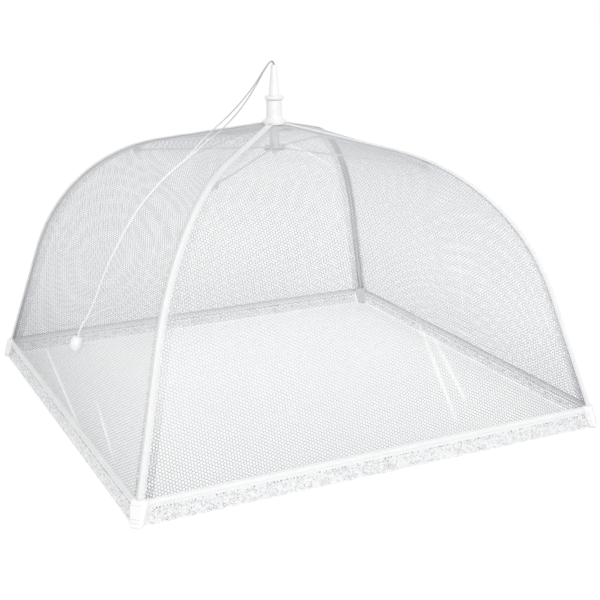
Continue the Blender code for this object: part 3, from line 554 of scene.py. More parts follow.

# Hub cord: the same two strands where they run down inside the cap and crown to a knot under the runner.
KNOT_TURNS = 3
KNOT_STATIONS = 240
KNOT_WAIST = 0.62
for which, side in (("back", 1), ("front", -1)):
    low, high = (corner.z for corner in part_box(f"hub_cord_{which}"))
    steps = round((high - low) / STRAND_RING_STEP)
    path = [Vector((0, side * STRAND_SPACING / 2, high + (low - high) * step / steps))
            for step in range(steps + 1)]
    strand = twisted_strand(f"hub_strand_{which}", path)
    finish_with(strand, cord_finish)
    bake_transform(strand)
    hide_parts(f"hub_cord_{which}")
knot_low, knot_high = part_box("cord_knot")
knot_middle = (knot_low + knot_high) / 2
knot_reach = (knot_high.x - knot_low.x) / 2 - STRAND_DIAMETER / 2
knot_rise = (knot_high.z - knot_low.z) / 2 - STRAND_DIAMETER / 2
knot_path = []
for step in range(KNOT_STATIONS):
    turn = math.tau * step / KNOT_STATIONS
    reach = knot_reach * (KNOT_WAIST + (1 - KNOT_WAIST) * math.cos(KNOT_TURNS * turn))
    knot_path.append(knot_middle + Vector((reach * math.cos(2 * turn), reach * math.sin(2 * turn),
                                           knot_rise * math.sin(KNOT_TURNS * turn))))
knot = twisted_strand("cord_knot_turns", knot_path)
finish_with(knot, cord_finish)
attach(knot, "runner")
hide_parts("cord_knot")

# Ribs: four lengths of drawn spring wire under white lacquer, each with a flattened eye on the crown's ring.
# A rib runs out from the crown, bends once in a long curve and runs straight down to its corner pocket.
BASE_SIDE = 0.430
TAPE_LEVEL = 0.017
FIRST_SLOPE = math.radians(10.4)
LAST_SLOPE = math.radians(69.3)
BEND_RADIUS = 0.193
BEND_STATIONS = 60
RIB_WIRE = 0.0020
RIB_TIP_HEIGHT = 0.003
WIRE_SIDES = 16
WIRE_SMOOTH_BELOW = math.radians(50)
EYE_RADIUS = 0.00125
EYE_WIRE = 0.0007
EYE_STATIONS = 28
EYE_SIDES = 12


def rib_line(lowest):
    """The rib's line in its own upright plane, as rows of distance from the axis, height and slope."""
    first = np.array((math.cos(FIRST_SLOPE), -math.sin(FIRST_SLOPE)))
    last = np.array((math.cos(LAST_SLOPE), -math.sin(LAST_SLOPE)))
    pivot = np.array((PIVOT_RADIUS, PIVOT_HEIGHT))
    corner = np.array((BASE_SIDE / math.sqrt(2), TAPE_LEVEL))
    slopes = np.linspace(FIRST_SLOPE, LAST_SLOPE, BEND_STATIONS + 1)
    bend = BEND_RADIUS * np.column_stack((np.sin(slopes) - math.sin(FIRST_SLOPE),
                                          np.cos(slopes) - math.cos(FIRST_SLOPE)))
    first_length, _ = np.linalg.solve(np.column_stack((first, last)), corner - pivot - bend[-1])
    bend = bend + pivot + first * first_length
    tip = corner + last * (TAPE_LEVEL - lowest) / math.sin(LAST_SLOPE)
    rows = [(*pivot, FIRST_SLOPE), *zip(bend[:, 0], bend[:, 1], slopes), (*tip, LAST_SLOPE)]
    return np.array(rows)


def start_wire(name, start, ahead, diameter):
    """The wire's round section, facing the way it goes, in edit mode and ready to be drawn out."""
    select_none()
    bpy.ops.mesh.primitive_circle_add(vertices=WIRE_SIDES, radius=diameter / 2, fill_type="NGON",
                                      location=start, rotation=ahead.to_track_quat("Z", "Y").to_euler())
    bpy.context.object.name = name
    edit_all()


def draw_out(way):
    bpy.ops.mesh.extrude_region_move(TRANSFORM_OT_translate={"value": way})


def finish_wire(eyes):
    """Closes the wire and joins a flattened eye to it at each place given."""
    wire = seal()
    put_in_mesh(wire)
    for place in eyes:
        eye = add_shape(bpy.ops.mesh.primitive_torus_add, location=place, rotation=(math.pi / 2, 0, 0),
                        major_radius=EYE_RADIUS, minor_radius=EYE_WIRE / 2, major_segments=EYE_STATIONS,
                        minor_segments=EYE_SIDES)
        modify(wire, "BOOLEAN", operation="UNION", object=eye)
        bpy.data.objects.remove(eye)
    make_active(wire)
    bpy.ops.object.shade_smooth_by_angle(angle=WIRE_SMOOTH_BELOW)
    return wire


def copies_at_corners(template, name, body, node):
    """A copy of a piece that was modelled toward +X at each corner, in place of any CAD node named."""
    for corner, angle in CORNER_ANGLES.items():
        mesh = template.data.copy()
        mesh.transform(Matrix.Rotation(angle, 4, "Z"))
        piece = new_piece(f"{name}_{corner}", mesh)
        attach(piece, f"{body}_{corner}")
        if node:
            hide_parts(f"{node}_{corner}")
    bpy.data.objects.remove(template)


# White lacquer on spring wire: a smooth pale shine with thin spots about 4 mm apart and a little orange peel,
# 0.7 mm from dimple to dimple.
lacquer = mottled("lacquered_spring_wire", ("#E0E1E4", "#F4F5F6"), 0.32, 240.0, 3.0, grain=1400.0,
                  relief=(0.12, 0.0001), IOR=1.5, Coat_Weight=0.3, Coat_Roughness=0.15)
crown_eye = Vector((PIVOT_RADIUS, 0, PIVOT_HEIGHT))
rib_first = Vector((math.cos(FIRST_SLOPE), 0, -math.sin(FIRST_SLOPE)))
rib_rows = rib_line(RIB_TIP_HEIGHT)
rib_start = crown_eye + rib_first * EYE_RADIUS
bend_start, bend_end, rib_tip = (Vector((rib_rows[row][0], 0, rib_rows[row][1])) for row in (1, -2, -1))
bend_centre = bend_start - BEND_RADIUS * Vector((math.sin(FIRST_SLOPE), 0, math.cos(FIRST_SLOPE)))
start_wire("rib_wire", rib_start, rib_first, RIB_WIRE)
draw_out(bend_start - rib_start)
bpy.ops.mesh.spin(steps=BEND_STATIONS, angle=FIRST_SLOPE - LAST_SLOPE, center=bend_centre, axis=(0, 1, 0))
draw_out(rib_tip - bend_end)
rib = finish_wire([crown_eye])
finish_with(rib, lacquer)
copies_at_corners(rib, "rib_wire", "rib", "rib")

# Struts: four straight lengths of thinner lacquered spring wire that hold the ribs open from the runner, with
# a flattened eye at each end.
STRUT_WIRE = 0.0018
RUNNER_PIVOT_RADIUS = 0.0088
CLIP_PIVOT = (0.144741, 0.233135)
runner_eye = Vector((RUNNER_PIVOT_RADIUS, 0, RUNNER_PIVOT_HEIGHT))
clip_eye = Vector((CLIP_PIVOT[0], 0, CLIP_PIVOT[1]))
strut_along = (clip_eye - runner_eye).normalized()
start_wire("strut_wire", runner_eye + strut_along * EYE_RADIUS, strut_along, STRUT_WIRE)
draw_out(clip_eye - runner_eye - strut_along * 2 * EYE_RADIUS)
strut = finish_wire([runner_eye, clip_eye])
finish_with(strut, lacquer)
copies_at_corners(strut, "strut_wire", "strut", "strut")

# Clips, rivets and wire rings, in their CAD shapes: nylon clips pressed on to the ribs, a plated rivet
# through each clip and its strut's eye, and plated wire rings in crown and runner that carry the other eyes.
RINGS = ("crown_ring", "runner_ring_front", "runner_ring_right", "runner_ring_back", "runner_ring_left")
# Moulded nylon: a slightly grey, waxy white with flow marks 2.4 mm apart
nylon = mottled("moulded_nylon_clip", ("#DFE1E3", "#F1F2F3"), 0.42, 420.0, distortion=1.2,
                relief=(0.15, 0.0001), IOR=1.53)
# Plated steel: bright grey metal, with dull flecks 1.1 mm apart in the plating. Its scratches are drawn
# 0.2 mm wide, coarser than real ones, so that they show.
plating = mottled("plated_steel_wire", ("#CFD2D6", "#EDEEF0"), 0.3, 900.0, 4.0, shine=(0.22, 0.44),
                  grain=4200.0, relief=(0.1, 0.00005), Metallic=1.0)
fittings = [(f"clip_{corner}", nylon) for corner in CORNER_ANGLES]
fittings += [(f"rivet_{corner}", plating) for corner in CORNER_ANGLES]
fittings += [(name, plating) for name in RINGS]
for name, finish in fittings:
    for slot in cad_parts[name].material_slots:
        slot.material = finish

# Netting: four panels of white polyester tulle, knitted in hexagons and stretched over the ribs. Each panel
# is made in two halves that meet at its middle.
SIDE_ANGLES = {
    "front": math.radians(270),
    "right": math.radians(0),
    "back": math.radians(90),
    "left": math.radians(180),
}
CORNER_NAMES = {round(math.degrees(angle)): name for name, angle in CORNER_ANGLES.items()}
CELL = 0.0028
CELL_EDGE = CELL / math.sqrt(3)
THREAD_WIDTH = 0.00054
THREAD_HEIGHT_SHARE = 0.6
NET_LAYER = 0.0017
NET_SEAM_INSET = 0.0018
NET_OPENING_RADIUS = 0.0118
NET_LOWEST = 0.0182
NET_SAG = 0.0012
PROFILE_LOWEST = 0.0002
CREASE_HEIGHT = 0.0006
CREASE_WIDTH = 0.0016
HUB_FOLD_WIDTH = 3 * CREASE_WIDTH
NARROWEST = 1e-4
WELD_DISTANCE = 3 * MERGE_DISTANCE
# Heights between which painted shade darkens the netting toward its foot, and how dark it gets
NET_SHADE_STARTS = 0.100
NET_SHADE_FULL = 0.022
NET_SHADE_MOST = 0.68
# How much more than the netting its bake map spans, and the margin that it leaves
BAKE_MAP_SPAN = 1.02
BAKE_MAP_MARGIN = 0.005


def panel_profile():
    """Middle line of a panel, from the cover's axis down: distance along it, its place and its way out."""
    rows = rib_line(PROFILE_LOWEST)
    first = rows[0]
    apex = (0.0, first[1] + first[0] * math.tan(FIRST_SLOPE), FIRST_SLOPE)
    rows = np.vstack((apex, rows))
    place = np.column_stack((rows[:, 0] / math.sqrt(2), rows[:, 1]))
    along = np.column_stack((np.cos(rows[:, 2]) / math.sqrt(2), -np.sin(rows[:, 2])))
    along /= np.linalg.norm(along, axis=1)[:, None]
    travelled = np.concatenate(([0], np.cumsum(np.linalg.norm(np.diff(place, axis=0), axis=1))))
    return travelled, place, np.column_stack((-along[:, 1], along[:, 0]))


PROFILE_RUN, PROFILE_PLACE, PROFILE_OUT = panel_profile()


def profile_at(run):
    """Distance out, height and the outward direction's two parts at distances along a panel's middle."""
    columns = np.column_stack((PROFILE_PLACE, PROFILE_OUT))
    return [np.interp(run, PROFILE_RUN, columns[:, index]) for index in range(4)]


def run_at_height(height):
    """Distance along a panel's middle at which it is at that height."""
    return float(np.interp(-height, -PROFILE_PLACE[:, 1], PROFILE_RUN))


def half_width(run, layer):
    """From a panel's middle to the plane of its rib, in a layer that lies outside the rib's own plane."""
    out, _, out_x, _ = profile_at(run)
    return out + layer * out_x


NET_FIRST_RUN = float(np.interp(NET_OPENING_RADIUS / math.sqrt(2), PROFILE_PLACE[:, 0], PROFILE_RUN))
NET_LAST_RUN = run_at_height(NET_LOWEST)
# Creases left from packing, as (side, across, down, across, down) from the panel's middle and from the axis
CREASES = (
    ("left", -0.092, 0.332, 0.068, 0.365),
    ("left", 0.078, 0.326, 0.150, 0.355),
    ("front", 0.044, 0.252, 0.073, 0.352),
    ("front", 0.057, 0.270, 0.085, 0.336),
    ("front", -0.014, 0.044, 0.008, 0.102),
    ("right", -0.050, 0.200, -0.020, 0.330),
    ("back", 0.040, 0.190, 0.070, 0.320),
)
# Folds that the pull of the crown leaves in the netting beside it, in the same measures, with their height
HUB_FOLDS = (
    ("front", -0.014, 0.044, 0.008, 0.102, 0.0011),
    ("front", 0.010, 0.030, 0.030, 0.090, 0.0006),
    ("right", -0.012, 0.020, -0.036, 0.085, 0.0009),
    ("left", 0.006, 0.020, 0.020, 0.090, 0.0008),
    ("back", -0.008, 0.022, -0.020, 0.090, 0.0008),
)


def ridge(across, run, line, height, width):
    """Height of a soft ridge along a straight line on a panel, fading at its ends."""
    start, end = np.array(line[:2]), np.array(line[2:])
    way = end - start
    length = np.linalg.norm(way)
    way /= length
    along = (across - start[0]) * way[0] + (run - start[1]) * way[1]
    aside = (across - start[0]) * way[1] - (run - start[1]) * way[0]
    share = np.clip(along / length, 0, 1)
    return height * np.sin(math.pi * share) ** 0.5 * np.exp(-(aside / width) ** 2)


def panel_relief(side, across, run):
    """How far a panel lies off its true surface: a slight sag between the ribs, creases and folds."""
    width = np.maximum(half_width(run, NET_LAYER), NARROWEST)
    down = np.clip((run - NET_FIRST_RUN) / (NET_LAST_RUN - NET_FIRST_RUN), 0, 1)
    lift = -NET_SAG * (1 - np.clip(across / width, -1, 1) ** 2) * np.sin(math.pi * down) ** 2
    for name, *line in CREASES:
        if name == side:
            lift = lift + ridge(across, run, line, CREASE_HEIGHT, CREASE_WIDTH)
    for name, *line, height in HUB_FOLDS:
        if name == side:
            lift = lift + ridge(across, run, line, height, HUB_FOLD_WIDTH)
    return lift


def on_panel(flat, side, end, layer, soft, from_rib):
    """Lays flat points (across, down, up) on a panel's half: across from its middle or in from its rib."""
    run = flat[:, 1]
    across = end * flat[:, 0]
    if from_rib:
        across = end * (half_width(run, layer + flat[:, 2]) - flat[:, 0])
    out, height, out_x, out_z = profile_at(run)
    lift = layer + flat[:, 2]
    if soft:
        lift = lift + panel_relief(side, across, run)
    points = np.column_stack((out + lift * out_x, across, height + lift * out_z))
    turn = SIDE_ANGLES[side]
    around = np.array(((math.cos(turn), math.sin(turn), 0), (-math.sin(turn), math.cos(turn), 0), (0, 0, 1)))
    return points @ around


def read_points(mesh):
    points = np.empty(len(mesh.vertices) * 3, np.float32)
    mesh.vertices.foreach_get("co", points)
    return points.reshape(-1, 3).astype(float)


def write_points(mesh, points):
    mesh.vertices.foreach_set("co", points.astype(np.float32).ravel())


def add_map(mesh, name, values):
    """UV map from two numbers for each of a mesh's points."""
    corners = np.empty(len(mesh.loops), np.int32)
    mesh.loops.foreach_get("vertex_index", corners)
    layer = mesh.uv_layers.new(name=name)
    layer.data.foreach_set("uv", values[corners].astype(np.float32).ravel())


def crease_highlight_share(side, across, run):
    """Painted highlight along the creases, from 0 to 1: how much lighter the threads are painted there."""
    share = np.zeros(len(run))
    for name, *line in CREASES:
        if name == side:
            share = np.maximum(share, ridge(across, run, line, 1, CREASE_WIDTH))
    return share


def laid_on_panel(flat, name, side, end, layer, soft=True, from_rib=False):
    """Copy of a flat piece, laid on one half of a panel."""
    mesh = flat.data.copy()
    flat_points = read_points(mesh)
    points = on_panel(flat_points, side, end, layer, soft, from_rib)
    if soft:
        # painted highlight along the creases, stored on the netting's points
        crease_highlight = mesh.attributes.new("crease_highlight", "FLOAT", "POINT")
        share = crease_highlight_share(side, end * flat_points[:, 0], flat_points[:, 1])
        crease_highlight.data.foreach_set("value", share.astype(np.float32))
    write_points(mesh, points)
    if (end > 0) != from_rib:
        mesh.flip_normals()
    mesh.update()
    return new_piece(name, mesh)


def half_name(side, end):
    return f"{side}_{'a' if end < 0 else 'b'}"


def corner_of(side, end):
    return CORNER_NAMES[round(math.degrees(SIDE_ANGLES[side]) + 45 * end) % 360]


def inward_from_rib(side, end):
    """Level direction from the upright plane of the rib at that end toward the panel's middle."""
    return Matrix.Rotation(SIDE_ANGLES[side], 3, "Z") @ Vector((1, -end, 0)).normalized()


def bend_with_panel(piece):
    """Moves the piece's place into its mesh."""
    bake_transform(piece)


def array(piece, count, step, welded=True):
    """Repeats a piece in a row, welded where the copies meet."""
    modify(piece, "ARRAY", count=count, use_relative_offset=False, use_constant_offset=True,
           constant_offset_displace=step, use_merge_vertices=welded, merge_threshold=WELD_DISTANCE)


def hexagon_sheet(name, across, down, edge):
    """Flat sheet of hexagonal cells over a width and a length, with a row of cells on the line x = 0."""
    flat_to_flat = edge * math.sqrt(3)
    first = add_shape(bpy.ops.mesh.primitive_circle_add, vertices=6, radius=edge, fill_type="NGON",
                      location=(0, 0, 0), rotation=(0, 0, math.pi / 6))
    first.name = name
    edit_all()
    bpy.ops.mesh.duplicate_move(TRANSFORM_OT_translate={"value": (1.5 * edge, flat_to_flat / 2, 0)})
    bpy.ops.mesh.select_all(action="SELECT")
    bpy.ops.mesh.remove_doubles(threshold=MERGE_DISTANCE)
    object_mode()
    array(first, math.ceil(down / flat_to_flat) + 1, (0, flat_to_flat, 0))
    array(first, math.ceil(across / (3 * edge)) + 1, (3 * edge, 0, 0))
    return first


def keep_faces(piece, wanted):
    """Deletes the faces whose middles a test turns down."""
    make_active(piece)
    mesh = piece.data
    middles = np.empty(len(mesh.polygons) * 3, np.float32)
    mesh.polygons.foreach_get("center", middles)
    unwanted = ~wanted(middles.reshape(-1, 3))
    edit_all()
    bpy.ops.mesh.select_all(action="DESELECT")
    object_mode()
    mesh.polygons.foreach_set("select", unwanted)
    bpy.ops.object.mode_set(mode="EDIT")
    bpy.ops.mesh.delete(type="FACE")
    object_mode()


def knit(piece, width):
    """Turns a sheet's cell edges to threads, and flattens them a little."""
    modify(piece, "WIREFRAME", thickness=width, use_boundary=True, use_even_offset=False)
    piece.data.transform(Matrix.Diagonal((1, 1, THREAD_HEIGHT_SHARE, 1)))


def cut_at(piece, place, normal):
    """Cuts a piece at a plane and drops what lies on the side that the normal points to."""
    make_active(piece)
    edit_all()
    bpy.ops.mesh.bisect(plane_co=place, plane_no=normal, clear_outer=True)
    object_mode()


def net_cells(middles):
    across, run = middles[:, 0], middles[:, 1]
    out = profile_at(run)[0]
    inside = across < half_width(run, NET_LAYER) + CELL
    return inside & (np.hypot(out, across) > NET_OPENING_RADIUS) & (run < NET_LAST_RUN)


def polyester_tulle(name, dark, light):
    """Polyester tulle: white knitted threads with a touch of sheen, uneven in clouds 45 mm across, with
    painted shade that darkens them toward the foot and a painted highlight that lightens them along the
    creases."""
    made = mottled(name, (dark, light), 0.6, 22.0, 3.0, Sheen_Weight=0.1)
    shade_by_height(made, NET_SHADE_STARTS, NET_SHADE_FULL, NET_SHADE_MOST, "#8E9197")
    # painted highlight: threads lightened along the creases
    crease_highlight = add_node(made.node_tree, "ShaderNodeAttribute", {}, attribute_name="crease_highlight")
    lay_over(made, crease_highlight.outputs["Fac"], "#FCFCFD")
    return made


flat_net = hexagon_sheet("flat_net", BASE_SIDE / 2, NET_LAST_RUN, CELL_EDGE)
keep_faces(flat_net, net_cells)
knit(flat_net, THREAD_WIDTH)
cut_at(flat_net, (0, 0, 0), (-1, 0, 0))
cut_at(flat_net, (0, NET_LAST_RUN, 0), (0, 1, 0))
finish_with(flat_net, polyester_tulle("polyester_tulle", "#C3C5C9", "#D3D5D8"))
add_map(flat_net.data, "OFBake",
        read_points(flat_net.data)[:, :2] / (BASE_SIDE, NET_LAST_RUN * BAKE_MAP_SPAN) + BAKE_MAP_MARGIN)
net_halves = {}
for side in SIDE_ANGLES:
    for end in (-1, 1):
        net = laid_on_panel(flat_net, f"netting_{half_name(side, end)}", side, end, NET_LAYER)
        inward = inward_from_rib(side, end)
        cut_at(net, inward * NET_SEAM_INSET, -inward)
        bend_with_panel(net)
        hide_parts(f"net_panel_{side}")
        net_halves[side, end] = net
bpy.data.objects.remove(flat_net)

# Seam allowance: where two panels are sewn together, the netting of each is turned in, so that a second
# layer shows as a denser band on both sides of a rib.
BAND_WIDTH = 0.0092
BAND_LAYER = 0.00125
BAND_THREAD = 0.00062
BAND_INSET = 0.0030
BAND_CELL_EDGE = CELL_EDGE * 0.94


def band_cells(middles):
    beside, run = middles[:, 0], middles[:, 1]
    out = profile_at(run)[0]
    width = half_width(run, BAND_LAYER)
    clear = np.hypot(out, width - beside) > NET_OPENING_RADIUS
    return clear & (beside < np.minimum(BAND_WIDTH, width)) & (beside > BAND_INSET) & (run < NET_LAST_RUN)


flat_band = hexagon_sheet("flat_band", BAND_WIDTH, NET_LAST_RUN, BAND_CELL_EDGE)
keep_faces(flat_band, band_cells)
knit(flat_band, BAND_THREAD)
finish_with(flat_band, polyester_tulle("doubled_polyester_tulle", "#DFE0E3", "#ECEDEE"))
for side, end in net_halves:
    band = laid_on_panel(flat_band, f"seam_allowance_{half_name(side, end)}", side, end, BAND_LAYER,
                         soft=False, from_rib=True)
    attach(band, f"rib_{corner_of(side, end)}")
bpy.data.objects.remove(flat_band)

# Seam tapes: a strip of woven polyester binding over each rib, folded along the middle and sewn down
# through both panels with a row of stitches along each edge.
TAPE_LAYER = 0.0025
TAPE_THICKNESS = 0.0006
SEAM_TAPE_WING = 0.0050
SEAM_TAPE_START_RADIUS = 0.0135
SEAM_TAPE_FOOT = 0.0196
STITCH_LENGTH = 0.0019
STITCH_PITCH = 0.0027
STITCH_THREAD = 0.00034
STITCH_FROM_EDGE = 0.0008
STITCH_SIDES = 6
STITCH_RINGS = 4
TAPE_STEP = 0.004


def woven_tape():
    """Woven polyester binding: bright white, fine cross ribs with a sheen along them, and thin enough that
    light passes through. The ribs are 0.9 mm apart and the warp threads 0.5 mm: on a map in millimetres, a
    wave's bands lie 0.314 / Scale apart."""
    made, tree, shader = new_material("woven_polyester_tape", "#F6F6F7", 0.62, Sheen_Weight=0.12,
                                      Subsurface_Weight=0.5, Subsurface_Scale=0.003,
                                      Subsurface_Radius=(1, 1, 1))
    flat = add_node(tree, "ShaderNodeUVMap", {}, uv_map="flat_mm")
    waves = [add_node(tree, "ShaderNodeTexWave", {"Vector": flat.outputs["UV"], "Scale": scale,
                                                  "Distortion": distortion}, bands_direction=direction)
             for scale, distortion, direction in ((0.35, 0.6, "Y"), (0.63, 0.4, "X"))]
    weave = add_node(tree, "ShaderNodeMath", {0: waves[0].outputs["Fac"], 1: waves[1].outputs["Fac"]},
                     operation="MULTIPLY")
    show_pattern(tree, shader, weave.outputs[0], ("#F0F0F1", "#FDFDFD"), (0.5, 0.0002))
    return made


def keep_flat_map(piece, axes=(0, 1)):
    """Keeps two of a piece's own coordinates, in millimetres, for its weave."""
    mesh = piece.data
    for layer in list(mesh.uv_layers):
        mesh.uv_layers.remove(layer)
    add_map(mesh, "flat_mm", read_points(mesh)[:, axes] * 1000)


def flat_strip(name, width, first_run, last_run):
    """Flat strip between two distances along a panel, divided so that it can bend."""
    length = last_run - first_run
    strip = add_shape(bpy.ops.mesh.primitive_grid_add, (width, length, 1), size=1,
                      location=(width / 2, (first_run + last_run) / 2, 0),
                      x_subdivisions=max(2, math.ceil(width / TAPE_STEP)),
                      y_subdivisions=max(2, math.ceil(length / TAPE_STEP)))
    strip.name = name
    keep_flat_map(strip)
    return strip


def stitch_row(name, start, along, length):
    """Row of flat-lying stitches, each a short swell of thread, from a start along x or y."""
    turn, step = {"x": ((0, math.pi / 2, 0), (STITCH_PITCH, 0, 0)),
                  "y": ((math.pi / 2, 0, 0), (0, STITCH_PITCH, 0))}[along]
    stitches = add_shape(bpy.ops.mesh.primitive_uv_sphere_add, (STITCH_THREAD, STITCH_THREAD, STITCH_LENGTH),
                         segments=STITCH_SIDES, ring_count=STITCH_RINGS, radius=0.5, location=start,
                         rotation=turn)
    stitches.name = name
    array(stitches, math.floor(length / STITCH_PITCH), step, welded=False)
    stitches.data.shade_smooth()
    return stitches


def joined(pieces):
    make_active(pieces[0])
    for piece in pieces:
        piece.select_set(True)
    bpy.ops.object.join()
    return bpy.context.object


def thicken(piece, thickness):
    modify(piece, "SOLIDIFY", thickness=thickness, offset=0, use_even_offset=True)
    bpy.ops.object.shade_smooth_by_angle(angle=SMOOTH_BELOW)


def over_rib(flat, name, sides, layer):
    """Two copies of a flat piece, one on each side of a rib, as one piece."""
    return joined([laid_on_panel(flat, name, sides[0], 1, layer, soft=False, from_rib=True),
                   laid_on_panel(flat, "other_side", sides[1], -1, layer, soft=False, from_rib=True)])


tape_finish = woven_tape()
# Spun polyester thread: white, a little duller than the tape, painted grey as painted shade for the needle
# holes and gaps beside it, with fibres drawn 0.7 mm apart so that they show
thread_finish = mottled("spun_polyester_thread", ("#BDBFC3", "#D8DADC"), 0.7, 1500.0, Sheen_Weight=0.1)
seam_first_run = float(np.interp(SEAM_TAPE_START_RADIUS / math.sqrt(2), PROFILE_PLACE[:, 0], PROFILE_RUN))
seam_last_run = run_at_height(SEAM_TAPE_FOOT)
flat_wing = flat_strip("flat_wing", SEAM_TAPE_WING, seam_first_run, seam_last_run)
finish_with(flat_wing, tape_finish)
flat_stitches = stitch_row("flat_stitches",
                           (SEAM_TAPE_WING - STITCH_FROM_EDGE, seam_first_run + STITCH_PITCH, 0), "y",
                           seam_last_run - seam_first_run - STITCH_PITCH)
finish_with(flat_stitches, thread_finish)
side_order = list(SIDE_ANGLES)
for sides in zip(side_order, side_order[1:] + side_order[:1]):
    corner = corner_of(sides[0], 1)
    tape = over_rib(flat_wing, f"seam_binding_{corner}", sides, TAPE_LAYER)
    edit_all()
    seal()
    thicken(tape, TAPE_THICKNESS)
    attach(tape, f"rib_{corner}")
    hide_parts(f"seam_tape_{corner}")
    stitches = over_rib(flat_stitches, f"seam_stitches_{corner}", sides, TAPE_LAYER + TAPE_THICKNESS / 2)
    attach(stitches, f"rib_{corner}")
bpy.data.objects.remove(flat_wing)
bpy.data.objects.remove(flat_stitches)

# Base tapes: one woven polyester tape along each side, sewn over the netting's lower edge with two rows
# of stitches. Like the netting it is in two halves, which meet at the side's middle.
BASE_TAPE_TOP = 0.0198
BASE_TAPE_BOTTOM = 0.0142
BASE_TAPE_INSET = 0.0003
BASE_TAPE_OVERRUN = 0.008
BASE_STITCH_FROM_EDGE = 0.0011


def trim_half(flat, name, side, end, layer, inset, thickness):
    """Half a strip, laid along the foot of a panel and cut off at an upright plane beside its rib."""
    trim = laid_on_panel(flat, name, side, end, layer, soft=False)
    inward = inward_from_rib(side, end)
    cut_at(trim, inward * inset, -inward)
    if thickness:
        thicken(trim, thickness)
    bend_with_panel(trim)
    return trim


base_first_run = run_at_height(BASE_TAPE_TOP)
base_last_run = run_at_height(BASE_TAPE_BOTTOM)
flat_base = flat_strip("flat_base", BASE_SIDE / 2 + BASE_TAPE_OVERRUN, base_first_run, base_last_run)
finish_with(flat_base, tape_finish)
stitch_rows = [stitch_row("flat_stitches", (STITCH_PITCH / 2, run, 0), "x", BASE_SIDE / 2)
               for run in (base_first_run + BASE_STITCH_FROM_EDGE, base_last_run - BASE_STITCH_FROM_EDGE)]
flat_stitches = joined(stitch_rows)
finish_with(flat_stitches, thread_finish)
trims = {}
for side, end in net_halves:
    tape = trim_half(flat_base, f"base_binding_{half_name(side, end)}", side, end, TAPE_LAYER,
                     BASE_TAPE_INSET, TAPE_THICKNESS)
    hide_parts(f"base_tape_{side}")
    stitches = trim_half(flat_stitches, f"base_stitches_{half_name(side, end)}", side, end,
                         TAPE_LAYER + TAPE_THICKNESS / 2, BASE_TAPE_INSET, 0)
    trims[side, end] = [tape, stitches]
bpy.data.objects.remove(flat_base)
bpy.data.objects.remove(flat_stitches)

# Lace: a strip of machine-made polyester lace under each base tape. Flowers, leaves and buds lie on a fine
# net ground between a header with a ladder of holes and a corded edge of small scallops.
LACE_TOP = 0.0132
LACE_BOTTOM = 0.0006
LACE_LAYER = 0.00265
LACE_REPEATS = 9
LACE_HALF = 0.21047
LACE_INSET = 0.0076
LACE_REPEAT = LACE_HALF / LACE_REPEATS
SCALLOPS = 4
SCALLOP_DEPTH = 0.0016
SCALLOP_CORD = 0.0007
SCALLOP_STEPS = 8
SCALLOP_SIDES = 6
LACE_CELL_EDGE = 0.00135
LACE_THREAD = 0.00044
MOTIF_HEIGHT = 0.00055
BAR_HEIGHT = MOTIF_HEIGHT * 0.8
HEADER_BAR = 0.0006
HEADER_HEIGHT = 0.0020
RUNGS = 8
# Where a rung starts and ends in its share of the header
RUNG_SPAN = (0.3, 0.7)
# Parts of a repeat in millimetres, from its start and from the header's foot. A sprig is its centre, its
# count of petals, their distance out and half sizes. A leaf is its place, half sizes and turn in degrees.
FLOWER = ((5.9, 4.6), 5, 1.75, (1.35, 0.95))
BUD = ((17.6, 4.2), 3, 1.15, (1.05, 0.65))
SPRIG_EYE = 0.6
LEAVES = (
    (10.3, 3.2, 1.9, 0.65, 28),
    (10.4, 6.6, 1.9, 0.65, -30),
    (13.6, 4.9, 1.7, 0.60, 4),
    (21.4, 5.9, 1.7, 0.60, -24),
    (21.2, 2.9, 1.5, 0.55, 26),
    (1.7, 3.4, 1.5, 0.55, -30),
    (1.9, 6.7, 1.6, 0.60, 24),
    (17.3, 7.4, 1.4, 0.55, 8),
)
OVAL_SIDES = 10
OVAL_RINGS = 4
FIRST_PETAL_TURN = 90


def oval(x, y, half_long, half_wide, turn):
    """Padded oval of close stitching, flat on its back, from sizes in millimetres."""
    return add_shape(bpy.ops.mesh.primitive_uv_sphere_add,
                     (half_long / 1000, half_wide / 1000, MOTIF_HEIGHT / 2), segments=OVAL_SIDES,
                     ring_count=OVAL_RINGS, radius=1, location=(x / 1000, y / 1000, 0),
                     rotation=(0, 0, math.radians(turn)))


def sprig(centre, count, reach, half_sizes):
    """Ovals set round a centre, as petals, with a small eye in their middle."""
    x, y = centre
    ovals = [oval(x, y, SPRIG_EYE, SPRIG_EYE, 0)]
    for petal in range(count):
        turn = 360 * petal / count + FIRST_PETAL_TURN
        ovals.append(oval(x + reach * math.cos(math.radians(turn)), y + reach * math.sin(math.radians(turn)),
                          *half_sizes, turn))
    return ovals


def bar(start, finish):
    """Flat corded bar between two corners."""
    return add_shape(bpy.ops.mesh.primitive_cube_add,
                     (finish[0] - start[0], finish[1] - start[1], BAR_HEIGHT), size=1,
                     location=((start[0] + finish[0]) / 2, (start[1] + finish[1]) / 2, 0))


def scallop_edge(across):
    """How far down the lace reaches, by the place across."""
    share = (across / (LACE_REPEAT / SCALLOPS)) % 1
    return lace_length - SCALLOP_CORD / 2 - SCALLOP_DEPTH * (2 * share - 1) ** 2


